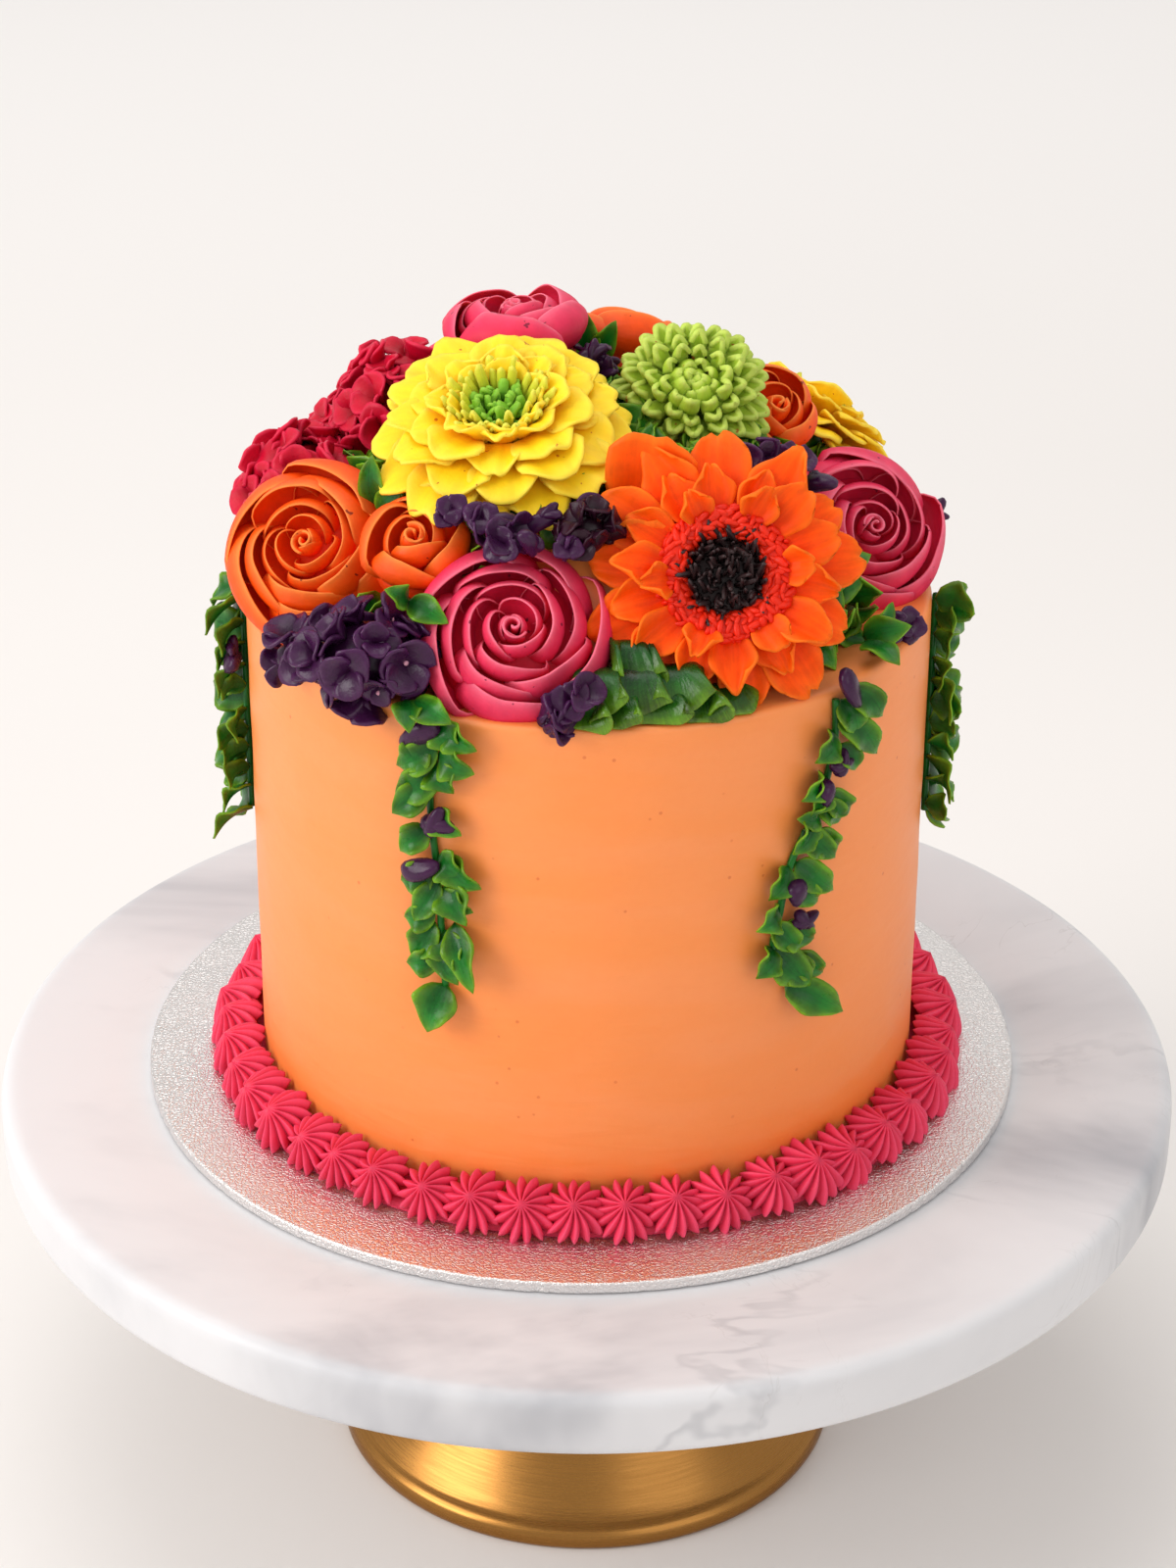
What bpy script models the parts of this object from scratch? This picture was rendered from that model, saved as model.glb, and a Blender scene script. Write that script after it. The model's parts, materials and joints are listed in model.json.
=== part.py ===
"""Buttercream flower cake on its silver board and its marble and brass stand.

Metres, +Z up. The origin is the bottom centre of the foot and the front looks along -Y.
The cake is an upright cylinder with a low mound fused to its top. The mound carries the
piped flowers, a border of star shells runs round the cake's foot, and leafy vines hang
over its rim. Every flower is a turned core with its petals fused to it.
"""

import math
import random

import bmesh
import bpy
from mathutils import Matrix, Vector

OBJECT_NAME = "buttercream_cake_on_stand"
SEED = 41
MM = 0.001

# Gap kept between neighbours that touch in the real object
GAP = 0.0003
HULL_MARGIN = 0.0004

# Distances at which stray points are welded after a Boolean, largest first
WELD_DISTANCES = (0.00002, 0.000004, 0.000001, 0.0000002)
# Faces that meet flatter than this are merged after a Boolean
FLAT_ANGLE = math.radians(1.5)

# Stand
FOOT_RADIUS = 0.068
FOOT_LIP = 0.0045
FOOT_NECK_RADIUS = 0.034
FOOT_STEPS = 28
FOOT_RINGS = 4
PLATE_RADIUS = 0.155
PLATE_THICKNESS = 0.0169
PLATE_BOTTOM = 0.0983
PLATE_ROUNDING = 0.0035
PLATE_STEPS = 40

# Silver board, nine inches across
BOARD_RADIUS = 0.1143
BOARD_THICKNESS = 0.003
BOARD_EDGE = 0.0006
BOARD_SHIFT = -0.0015
BOARD_STEPS = 40

# Cake and the mound on its top
CAKE_RADIUS = 0.0855
CAKE_HEIGHT = 0.1325
CAKE_RIM = 0.0016
MOUND_RADIUS = 0.068
MOUND_HEIGHT = 0.043
MOUND_RINGS = 3
CAKE_STEPS = 36

# Star border
STAR_COUNT = 47
STAR_RIDGES = 5
STAR_RADIUS = 0.0080
STAR_HEIGHT = 0.0074
STAR_RING = 0.0925
STAR_LEAN = math.radians(30)
STAR_GROOVE = 0.76
STAR_SHOULDER = 0.5
BEAD_HEIGHT = 0.0026
BEAD_STEPS = 24
STAR_RISE = 0.0034

# Piped leaves
LEAF_THICKNESS = 0.0012

# Vines
VINE_STEM = 0.0009
VINE_STANDOFF = 0.0016

PLATE_TOP = PLATE_BOTTOM + PLATE_THICKNESS
BOARD_BOTTOM = PLATE_TOP + GAP
BOARD_TOP = BOARD_BOTTOM + BOARD_THICKNESS
CAKE_BOTTOM = BOARD_TOP + GAP
CAKE_TOP = BOARD_TOP + CAKE_HEIGHT

# Name: base colour, roughness, metallic
FINISHES = {
    "brushed_brass": ((0.69, 0.46, 0.16), 0.34, 1.0),
    "white_marble": ((0.86, 0.85, 0.84), 0.28, 0.0),
    "silver_foil": ((0.80, 0.79, 0.79), 0.30, 0.9),
    "peach_buttercream": ((0.92, 0.46, 0.19), 0.55, 0.0),
    "pink_buttercream": ((0.72, 0.07, 0.14), 0.50, 0.0),
    "magenta_buttercream": ((0.62, 0.03, 0.10), 0.48, 0.0),
    "orange_buttercream": ((0.92, 0.17, 0.01), 0.48, 0.0),
    "yellow_buttercream": ((0.95, 0.75, 0.03), 0.48, 0.0),
    "green_buttercream": ((0.36, 0.50, 0.10), 0.50, 0.0),
    "purple_buttercream": ((0.05, 0.02, 0.09), 0.38, 0.0),
    "leaf_buttercream": ((0.03, 0.26, 0.05), 0.40, 0.0),
}


def clear_scene():
    """Remove what the start-up file holds."""
    for item in list(bpy.data.objects):
        bpy.data.objects.remove(item, do_unlink=True)


def new_collection(name):
    """Collection linked to the scene."""
    made = bpy.data.collections.new(name)
    bpy.context.scene.collection.children.link(made)
    return made


def finish(name):
    """Principled material with the piece's colour, roughness and metallic value."""
    colour, roughness, metallic = FINISHES[name]
    made = bpy.data.materials.new(name)
    made.use_nodes = True
    shader = made.node_tree.nodes["Principled BSDF"]
    shader.inputs["Base Color"].default_value = (*colour, 1.0)
    shader.inputs["Roughness"].default_value = roughness
    shader.inputs["Metallic"].default_value = metallic
    return made


def mesh_object(name, mesh, collection, matrix=None):
    """Object that shows a mesh, placed by a matrix."""
    made = bpy.data.objects.new(name, mesh)
    if matrix is not None:
        made.matrix_world = matrix
    collection.objects.link(made)
    return made


def from_bmesh(name, bm, collection, matrix=None):
    """Object made from a bmesh, which is then freed."""
    mesh = bpy.data.meshes.new(name)
    bm.to_mesh(mesh)
    bm.free()
    return mesh_object(name, mesh, collection, matrix)


def facing(place, normal, spin=0.0):
    """Matrix that puts a piece at its place with its own +Z along the normal."""
    turn = Vector(normal).to_track_quat("Z", "Y").to_matrix().to_4x4()
    return Matrix.Translation(Vector(place)) @ turn @ Matrix.Rotation(spin, 4, "Z")


def evaluated_mesh(item):
    """Mesh of an object with its modifiers applied, as plain data."""
    graph = bpy.context.evaluated_depsgraph_get()
    graph.update()
    return bpy.data.meshes.new_from_object(item.evaluated_get(graph))


def apply_modifiers(item):
    """Replace an object's mesh by its evaluated one."""
    mesh = evaluated_mesh(item)
    item.modifiers.clear()
    item.data = mesh


def turned(name, profile, steps, collection, matrix=None):
    """Solid turned from a profile that runs down its outer side, top to bottom."""
    mesh = bpy.data.meshes.new(name)
    points = [(radius, 0.0, height) for radius, height in profile]
    edges = [(index, index + 1) for index in range(len(points) - 1)]
    mesh.from_pydata(points, edges, [])
    made = mesh_object(name, mesh, collection, matrix)
    screw = made.modifiers.new("turn", "SCREW")
    screw.steps = steps
    screw.render_steps = steps
    screw.use_merge_vertices = True
    screw.merge_threshold = 0.00005
    screw.use_smooth_shade = False
    return made


def keep_largest(item):
    """Drop the loose scraps of a solid that a cut has left."""
    bm = bmesh.new()
    bm.from_mesh(item.data)
    left = set(bm.faces)
    islands = []
    while left:
        island = []
        waiting = [left.pop()]
        while waiting:
            face = waiting.pop()
            island.append(face)
            for edge in face.edges:
                for other in edge.link_faces:
                    if other in left:
                        left.remove(other)
                        waiting.append(other)
        islands.append(island)
    islands.sort(key=lambda island: sum(face.calc_area() for face in island), reverse=True)
    for scrap in islands[1:]:
        bmesh.ops.delete(bm, geom=scrap, context="FACES")
    loose = [vert for vert in bm.verts if not vert.link_faces]
    bmesh.ops.delete(bm, geom=loose, context="VERTS")
    bm.to_mesh(item.data)
    bm.free()


def is_closed(bm):
    """Whether every edge joins exactly two faces."""
    return all(len(edge.link_faces) == 2 for edge in bm.edges)


def clean(item):
    """Weld points that a Boolean left almost on top of each other, where that keeps it closed."""
    for distance in WELD_DISTANCES:
        bm = bmesh.new()
        bm.from_mesh(item.data)
        bmesh.ops.remove_doubles(bm, verts=bm.verts, dist=distance)
        bmesh.ops.dissolve_degenerate(bm, dist=distance, edges=bm.edges)
        bmesh.ops.dissolve_limit(
            bm, angle_limit=FLAT_ANGLE, use_dissolve_boundaries=False, verts=bm.verts, edges=bm.edges
        )
        bmesh.ops.triangulate(bm, faces=bm.faces)
        closed = is_closed(bm)
        if closed:
            bm.to_mesh(item.data)
        bm.free()
        if closed:
            return


def boolean(item, operation, other):
    """Join or cut a solid with an object or a collection: EXACT, or MANIFOLD where that fails."""
    before = item.data
    for solver in ("EXACT", "MANIFOLD"):
        item.data = before
        step = item.modifiers.new(operation.lower(), "BOOLEAN")
        step.operation = operation
        step.solver = solver
        if isinstance(other, bpy.types.Collection):
            step.operand_type = "COLLECTION"
            step.collection = other
        else:
            step.object = other
        apply_modifiers(item)
        bm = bmesh.new()
        bm.from_mesh(item.data)
        sound = is_closed(bm) and len(bm.faces) > 0
        bm.free()
        if sound:
            return
    raise ValueError(f"{item.name}: the {operation} with {other.name} has failed")


def fuse(core, pieces):
    """One solid from a core and a collection of pieces, by one Boolean union."""
    boolean(core, "UNION", pieces)
    for item in list(pieces.objects):
        bpy.data.objects.remove(item, do_unlink=True)
    bpy.data.collections.remove(pieces)
    clean(core)
    keep_largest(core)
    return core


def cut(item, cutters):
    """Take every cutter away from a solid, then drop what falls off."""
    for cutter in cutters:
        boolean(item, "DIFFERENCE", cutter)
    clean(item)
    keep_largest(item)


def as_cutter(item):
    """Mark an object as a cutter: drawn as wires and left out of the model."""
    item.hide_render = True
    item.display_type = "WIRE"
    return item


def hull_cutter(item, collection):
    """Convex hull of a solid, a little larger, which keeps its neighbours clear of it."""
    bm = bmesh.new()
    for vert in item.data.vertices:
        bm.verts.new(item.matrix_world @ vert.co)
    bmesh.ops.convex_hull(bm, input=bm.verts)
    loose = [vert for vert in bm.verts if not vert.link_faces]
    bmesh.ops.delete(bm, geom=loose, context="VERTS")
    bmesh.ops.recalc_face_normals(bm, faces=bm.faces)
    bm.normal_update()
    for vert in bm.verts:
        vert.co += vert.normal * (GAP + HULL_MARGIN)
    return as_cutter(from_bmesh(item.name + "_envelope", bm, collection))


def box_of(item):
    """World bounding box of an object's mesh, as low and high corners."""
    corners = [item.matrix_world @ vert.co for vert in item.data.vertices]
    low = Vector([min(corner[axis] for corner in corners) for axis in range(3)])
    high = Vector([max(corner[axis] for corner in corners) for axis in range(3)])
    return low, high


def boxes_meet(first, second):
    """Whether two bounding boxes share any room."""
    return all(
        first[0][axis] < second[1][axis] and second[0][axis] < first[1][axis]
        for axis in range(3)
    )


# Stand, board and cake


def build_foot(collection):
    """Brass foot: a low rounded lip and a waisted body that carries the plate."""
    top = PLATE_BOTTOM - GAP
    profile = [(0.0, top), (FOOT_NECK_RADIUS + 0.006, top), (FOOT_NECK_RADIUS + 0.006, top - 0.004)]
    lip_inner = FOOT_RADIUS - 0.0035
    lower = FOOT_LIP + 0.0025
    for ring in range(FOOT_RINGS + 1):
        share = ring / FOOT_RINGS
        height = top - 0.004 - (top - 0.004 - lower) * share
        radius = FOOT_NECK_RADIUS + (lip_inner - FOOT_NECK_RADIUS) * share ** 2.4
        profile.append((radius, height))
    profile.append((FOOT_RADIUS - 0.0008, FOOT_LIP))
    profile.append((FOOT_RADIUS, 0.0018))
    profile.append((FOOT_RADIUS - 0.0012, 0.0))
    profile.append((0.0, 0.0))
    return turned("stand_foot", profile, FOOT_STEPS, collection)


def build_plate(collection):
    """Marble plate with rounded edges."""
    edge = PLATE_RADIUS - PLATE_ROUNDING
    profile = [
        (0.0, PLATE_TOP),
        (edge, PLATE_TOP),
        (PLATE_RADIUS - 0.3 * PLATE_ROUNDING, PLATE_TOP - 0.3 * PLATE_ROUNDING),
        (PLATE_RADIUS, PLATE_TOP - PLATE_ROUNDING),
        (PLATE_RADIUS, PLATE_BOTTOM + PLATE_ROUNDING),
        (edge, PLATE_BOTTOM),
        (0.0, PLATE_BOTTOM),
    ]
    return turned("stand_plate", profile, PLATE_STEPS, collection)


def build_board(collection):
    """Round silver board, a little to the left of the plate's centre."""
    profile = [
        (0.0, BOARD_TOP),
        (BOARD_RADIUS - BOARD_EDGE, BOARD_TOP),
        (BOARD_RADIUS, BOARD_TOP - BOARD_EDGE),
        (BOARD_RADIUS, BOARD_BOTTOM),
        (0.0, BOARD_BOTTOM),
    ]
    shift = Matrix.Translation((BOARD_SHIFT, 0.0, 0.0))
    return turned("cake_board", profile, BOARD_STEPS, collection, shift)


def cake_profile(grow=0.0):
    """Outer side of the cake with its mound, grown all round by `grow`."""
    profile = []
    for ring in range(MOUND_RINGS + 1):
        angle = 0.5 * math.pi * ring / MOUND_RINGS
        radius = (MOUND_RADIUS + grow) * math.sin(angle)
        height = CAKE_TOP + grow + MOUND_HEIGHT * math.cos(angle)
        profile.append((radius, height))
    radius = CAKE_RADIUS + grow
    profile.append((radius - CAKE_RIM, CAKE_TOP + grow))
    profile.append((radius - 0.3 * CAKE_RIM, CAKE_TOP + grow - 0.3 * CAKE_RIM))
    profile.append((radius, CAKE_TOP + grow - CAKE_RIM))
    profile.append((radius, CAKE_BOTTOM - grow))
    profile.append((0.0, CAKE_BOTTOM - grow))
    return profile


def build_cake(collection):
    """Smooth straight cake, solid, with the mound that carries the flowers."""
    return turned("cake", cake_profile(), CAKE_STEPS, collection)


def star_shell(name, collection, matrix):
    """One piped star: a fluted cone whose ridges meet in a small peak."""
    bm = bmesh.new()
    bmesh.ops.create_cone(
        bm,
        cap_ends=True,
        segments=2 * STAR_RIDGES,
        radius1=STAR_RADIUS,
        radius2=STAR_SHOULDER * STAR_RADIUS,
        depth=0.7 * STAR_HEIGHT,
    )
    top = [face for face in bm.faces if face.normal.z > 0.9]
    peak = bmesh.ops.poke(bm, faces=top)["verts"][0]
    peak.co.z += 0.3 * STAR_HEIGHT
    for vert in bm.verts:
        index = round(math.atan2(vert.co.y, vert.co.x) / (math.pi / STAR_RIDGES))
        if index % 2 and vert is not peak:
            vert.co.x *= STAR_GROOVE
            vert.co.y *= STAR_GROOVE
    return from_bmesh(name, bm, collection, matrix)


def build_border(collection):
    """Ring of star shells on a low bead in the corner between the cake and the board."""
    inner = CAKE_RADIUS - 0.001
    outer = STAR_RING + 0.0025
    low = BOARD_TOP + GAP
    profile = [
        (inner, low + BEAD_HEIGHT),
        (STAR_RING - 0.003, low + BEAD_HEIGHT),
        (outer, low + 0.4 * BEAD_HEIGHT),
        (outer, low),
        (inner, low),
        (inner, low + BEAD_HEIGHT),
    ]
    core = turned("star_border", profile, BEAD_STEPS, collection)
    pieces = new_collection("stars")
    draw = random.Random(SEED)
    for index in range(STAR_COUNT):
        angle = 2.0 * math.pi * (index + 0.12 * draw.uniform(-1.0, 1.0)) / STAR_COUNT - 0.5 * math.pi
        outward = Vector((math.cos(angle), math.sin(angle), 0.0))
        normal = outward * math.sin(STAR_LEAN) + Vector((0.0, 0.0, math.cos(STAR_LEAN)))
        place = outward * STAR_RING + Vector((0.0, 0.0, low + STAR_RISE))
        size = 1.0 + 0.05 * draw.uniform(-1.0, 1.0)
        matrix = facing(place, normal, draw.uniform(0.0, 0.5)) @ Matrix.Scale(size, 4)
        star_shell("star", pieces, matrix)
    return fuse(core, pieces)


# Flowers


def double_fan(name, outline, top, bottom, collection, matrix=None):
    """Thin closed solid: an outline joined to a point above it and one below it.

    The outline runs anticlockwise as seen from above, and both faces are split alike.
    """
    bm = bmesh.new()
    rim = [bm.verts.new(point) for point in outline]
    above = bm.verts.new(top)
    below = bm.verts.new(bottom)
    for index, vert in enumerate(rim):
        after = rim[(index + 1) % len(rim)]
        bm.faces.new((vert, after, above))
        bm.faces.new((after, vert, below))
    return from_bmesh(name, bm, collection, matrix)


def petal_layer(name, layer, collection, draw):
    """Ring of petals as one notched cone; each petal has two shoulders and a low notch."""
    count = layer["count"]
    outline = []
    for index in range(count):
        tip = layer["radius"] * (1.0 + 0.05 * draw.uniform(-1.0, 1.0))
        lift = layer["lift"] + 0.12 * layer["radius"] * draw.uniform(-0.5, 0.5)
        corners = [(-0.5, layer["notch"], -layer["fold"]), (-0.3, 0.97, 0.0), (0.3, 1.0, 0.0)]
        if layer["points"] == 2:
            corners = [(-0.5, layer["notch"], -layer["fold"]), (0.0, 1.0, 0.0)]
        for share, reach, drop in corners:
            angle = 2.0 * math.pi * (index + share + layer["phase"]) / count
            radius = tip * reach
            outline.append((radius * math.cos(angle), radius * math.sin(angle), lift + drop))
    top = (0.0, 0.0, layer["root"])
    bottom = (0.0, 0.0, layer["root"] - layer["thick"])
    return double_fan(name, outline, top, bottom, collection)


def layered_flower(name, radius, size, layers, core_profile, sides, collection, seed):
    """Flower of petal layers fused round a turned core; its sizes are for a radius of `size`."""
    unit = radius / size
    lengths = ("radius", "lift", "fold", "root", "thick")
    core = turned(name, [(r * unit, z * unit) for r, z in core_profile], sides, collection)
    pieces = new_collection(name + "_petals")
    draw = random.Random(SEED + seed)
    for layer in layers:
        scaled = {key: value * unit if key in lengths else value for key, value in layer.items()}
        petal_layer("layer", scaled, pieces, draw)
    return fuse(core, pieces)


def zinnia(name, radius, collection, fine=True, seed=0):
    """Yellow flower: broad outer petals, a smaller layer, an inner crown and a raised button."""
    layers = [
        dict(count=12, radius=32.5, notch=0.8, lift=-2.6, fold=1.6, root=-9.5, thick=4, phase=0.0, points=3),
        dict(count=10, radius=25.0, notch=0.8, lift=1.4, fold=1.6, root=-5.5, thick=4, phase=0.5, points=3),
        dict(count=8, radius=16.5, notch=0.8, lift=4.2, fold=1.4, root=-3.5, thick=3, phase=0.2, points=2),
    ]
    if not fine:
        layers = [dict(layer, points=2) for layer in layers[:2]]
    core = [(0, 2.6), (5.0, 1.6), (8.5, -2.0), (11.5, -9.0), (8, -19), (0, -19)]
    return layered_flower(name, radius, 32.5, layers, core, 8, collection, seed)


def gerbera(name, radius, collection, seed=0):
    """Orange flower: two layers of long petals, a crinkled ring and a dark bristly eye."""
    layers = [
        dict(count=12, radius=33, notch=0.8, lift=-5.5, fold=1.6, root=-7.5, thick=4, phase=0.0, points=3),
        dict(count=11, radius=26.5, notch=0.8, lift=-1.4, fold=1.5, root=-4.5, thick=4, phase=0.5, points=2),
    ]
    core = [(0, -1.6), (8.0, -2.4), (9.6, -0.6), (13.0, 0.0), (16.8, -2.6), (15, -8.5), (9, -20), (0, -20)]
    return layered_flower(name, radius, 33.0, layers, core, 10, collection, seed)


def chrysanthemum(name, radius, collection, seed=0):
    """Green flower: rows of short pointed petals that close towards an open middle."""
    layers = [
        dict(count=12, radius=19.0, notch=0.86, lift=-8.5, fold=0.8, root=-14, thick=3, phase=0.0, points=2),
        dict(count=11, radius=18.0, notch=0.86, lift=-3.4, fold=0.9, root=-10.5, thick=3, phase=0.5, points=2),
        dict(count=9, radius=14.0, notch=0.86, lift=0.4, fold=0.9, root=-7, thick=3, phase=0.1, points=2),
        dict(count=7, radius=8.6, notch=0.84, lift=1.0, fold=0.9, root=-4.5, thick=3, phase=0.6, points=2),
    ]
    core = [(0, -4.0), (3.6, -4.6), (8.5, -8), (10.5, -13), (8, -20), (0, -20)]
    return layered_flower(name, radius, 19.0, layers, core, 8, collection, seed)


def lofted(name, rings, top, bottom, collection, matrix=None):
    """Closed solid through rings of points, listed from the bottom up, with two end points."""
    bm = bmesh.new()
    made = [[bm.verts.new(point) for point in ring] for ring in rings]
    first = bm.verts.new(bottom)
    last = bm.verts.new(top)
    count = len(rings[0])
    for index in range(count):
        after = (index + 1) % count
        bm.faces.new((made[0][after], made[0][index], first))
        bm.faces.new((made[-1][index], made[-1][after], last))
        for low, high in zip(made, made[1:]):
            bm.faces.new((low[index], low[after], high[after], high[index]))
    bmesh.ops.triangulate(bm, faces=bm.faces)
    return from_bmesh(name, bm, collection, matrix)


# Rings of a rose from the outside in: petals, edge radius, edge height, groove radius and height
ROSE_SIZE = 21.5
ROSE_RINGS = [
    (5, 21.5, -6.0, 16.2, -9.0),
    (5, 16.0, -2.6, 11.4, -7.0),
    (4, 10.8, -0.6, 7.0, -5.0),
    (3, 5.6, 0.0, 2.4, -3.4),
]


def rose(name, radius, collection, rings=4, steps=20, seed=0):
    """Rose as one wavy surface: rings of petal edges with grooves between them.

    Each petal's edge leaves the ring a little further out at one end than at the other, so
    that the petals overlap like tiles, and it is highest at its middle.
    """
    used = ROSE_RINGS[len(ROSE_RINGS) - rings:]
    unit = radius / used[0][1]
    draw = random.Random(SEED + seed)
    depth = 0.95 * used[0][1] + 1.5

    def circle(reach, height):
        angles = [2.0 * math.pi * index / steps for index in range(steps)]
        return [(reach * unit * math.cos(a), reach * unit * math.sin(a), height * unit) for a in angles]

    sections = [circle(0.42 * used[0][1], -depth), circle(0.84 * used[0][1], -0.66 * depth)]
    for petals, edge, height, groove, low in used:
        phase = draw.uniform(0.0, 1.0)
        points = []
        for index in range(steps):
            angle = 2.0 * math.pi * index / steps
            share = (petals * index / steps + phase) % 1.0 - 0.5
            reach = edge * (1.0 + 0.13 * share - 0.06) * unit
            up = (height - 2.4 * (2.0 * share) ** 4 * edge / ROSE_SIZE) * unit
            points.append((reach * math.cos(angle), reach * math.sin(angle), up))
        sections.append(points)
        sections.append(circle(groove, low))
    return lofted(name, sections, (0.0, 0.0, -1.4 * unit), (0.0, 0.0, -depth * unit), collection)


def blossom(collection, matrix, radius, depth):
    """Small four petalled blossom: a scalloped cup."""
    petals = 4
    outline = []
    for index in range(2 * petals):
        angle = math.pi * index / petals
        reach = radius * (0.66 if index % 2 else 1.0)
        outline.append((reach * math.cos(angle), reach * math.sin(angle), 0.3 * depth))
    return double_fan("blossom", outline, (0.0, 0.0, 0.05 * depth), (0.0, 0.0, -depth), collection, matrix)


def blossom_cluster(name, lobes, count, radius, collection, seed=0, low=-0.35):
    """Blossoms spread evenly over a few fused lobes.

    A lobe is its centre and its three half sizes. Blossoms sit on the part of each lobe
    whose own height share is above `low`.
    """
    draw = random.Random(SEED + seed)
    core = None
    pieces = new_collection(name + "_blossoms")
    golden = math.pi * (3.0 - math.sqrt(5.0))
    for lobe, (centre, half) in enumerate(lobes):
        bm = bmesh.new()
        bmesh.ops.create_uvsphere(bm, u_segments=8, v_segments=5, radius=1.0)
        bm.transform(Matrix.Translation(Vector(centre)) @ Matrix.Diagonal((*half, 1.0)))
        if core is None:
            core = from_bmesh(name, bm, collection)
        else:
            from_bmesh("lobe", bm, pieces)
        share = count // len(lobes)
        for index in range(share):
            up = 1.0 - (1.0 - low) * (index + 0.5) / share
            angle = golden * index + lobe
            side = math.sqrt(max(0.0, 1.0 - up * up))
            direction = Vector((side * math.cos(angle), side * math.sin(angle), up))
            place = Vector(centre) + Vector([direction[axis] * half[axis] for axis in range(3)])
            normal = Vector([direction[axis] / half[axis] for axis in range(3)]).normalized()
            normal += 0.25 * Vector((draw.uniform(-1, 1), draw.uniform(-1, 1), draw.uniform(-1, 1)))
            size = radius * (1.0 + 0.12 * draw.uniform(-1.0, 1.0))
            blossom(pieces, facing(place, normal, draw.uniform(0.0, 1.2)), size, 0.9 * size)
    return fuse(core, pieces)


def bud(collection, place, direction, length, width):
    """Piped bud: a blunt drop along its direction."""
    bm = bmesh.new()
    bmesh.ops.create_uvsphere(bm, u_segments=5, v_segments=2, radius=1.0)
    bm.transform(Matrix.Diagonal((0.5 * width, 0.5 * width, 0.5 * length, 1.0)))
    return from_bmesh("bud", bm, collection, facing(place, direction))


def bud_group(name, places, length, width, collection, seed=0):
    """Buds that overlap in a little heap, fused together."""
    draw = random.Random(SEED + seed)
    centre = sum((Vector(place) for place in places), Vector()) / len(places)
    core = bud(collection, centre, (0.3, 0.2, 1.0), length, width * 1.3)
    core.name = name
    pieces = new_collection(name + "_buds")
    for place in places:
        direction = Vector((draw.uniform(-1, 1), draw.uniform(-1, 1), 0.8 + draw.uniform(0, 1)))
        bud(pieces, place, direction, length, width)
    core.data.transform(core.matrix_world)
    core.matrix_world = Matrix.Identity(4)
    return fuse(core, pieces)


# Leaves and vines


# Outlines of a leaf's left side, broad and narrow: share of the length and of the half width
BROAD_LEAF = [(0.3, 0.92), (0.62, 0.86)]
NARROW_LEAF = [(0.45, 1.0)]


def leaf(collection, place, direction, normal, length, width, wave, sides):
    """Pointed wavy leaf that starts at its place and lies along its direction."""
    along = Vector(direction).normalized()
    side = Vector(normal).cross(along).normalized()
    up = along.cross(side)
    matrix = Matrix.Translation(Vector(place)) @ Matrix((
        (along.x, side.x, up.x, 0.0),
        (along.y, side.y, up.y, 0.0),
        (along.z, side.z, up.z, 0.0),
        (0.0, 0.0, 0.0, 1.0),
    ))
    right = [(length * share, -0.5 * width * half, wave) for share, half in sides]
    left = [(length * share, 0.5 * width * half, -0.4 * wave) for share, half in reversed(sides)]
    outline = [(-0.08 * length, 0.0, 0.0)] + right + [(length, 0.0, 0.3 * wave)] + left
    sag = -0.12 * width
    top = (0.45 * length, 0.0, sag + 0.5 * LEAF_THICKNESS)
    bottom = (0.45 * length, 0.0, sag - 0.5 * LEAF_THICKNESS)
    return double_fan("leaf", outline, top, bottom, collection, matrix)


def leaf_group(name, leaves, collection):
    """Leaves that share a root, fused round a small bud."""
    root = sum((Vector(item[0]) for item in leaves), Vector()) / len(leaves)
    core = bud(collection, root, (0.0, 0.0, 1.0), 0.005, 0.005)
    core.name = name
    core.data.transform(core.matrix_world)
    core.matrix_world = Matrix.Identity(4)
    pieces = new_collection(name + "_leaves")
    for place, direction, normal, length, width in leaves:
        start = Vector(place) * 0.35 + root * 0.65
        leaf(pieces, start, direction, normal, length, width, 0.0015, BROAD_LEAF)
    return fuse(core, pieces)


def on_side(azimuth, height, standoff=VINE_STANDOFF):
    """Point on the cake's side; azimuth is measured from the front towards +X."""
    radius = CAKE_RADIUS + standoff
    return Vector((radius * math.sin(azimuth), -radius * math.cos(azimuth), height))


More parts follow.
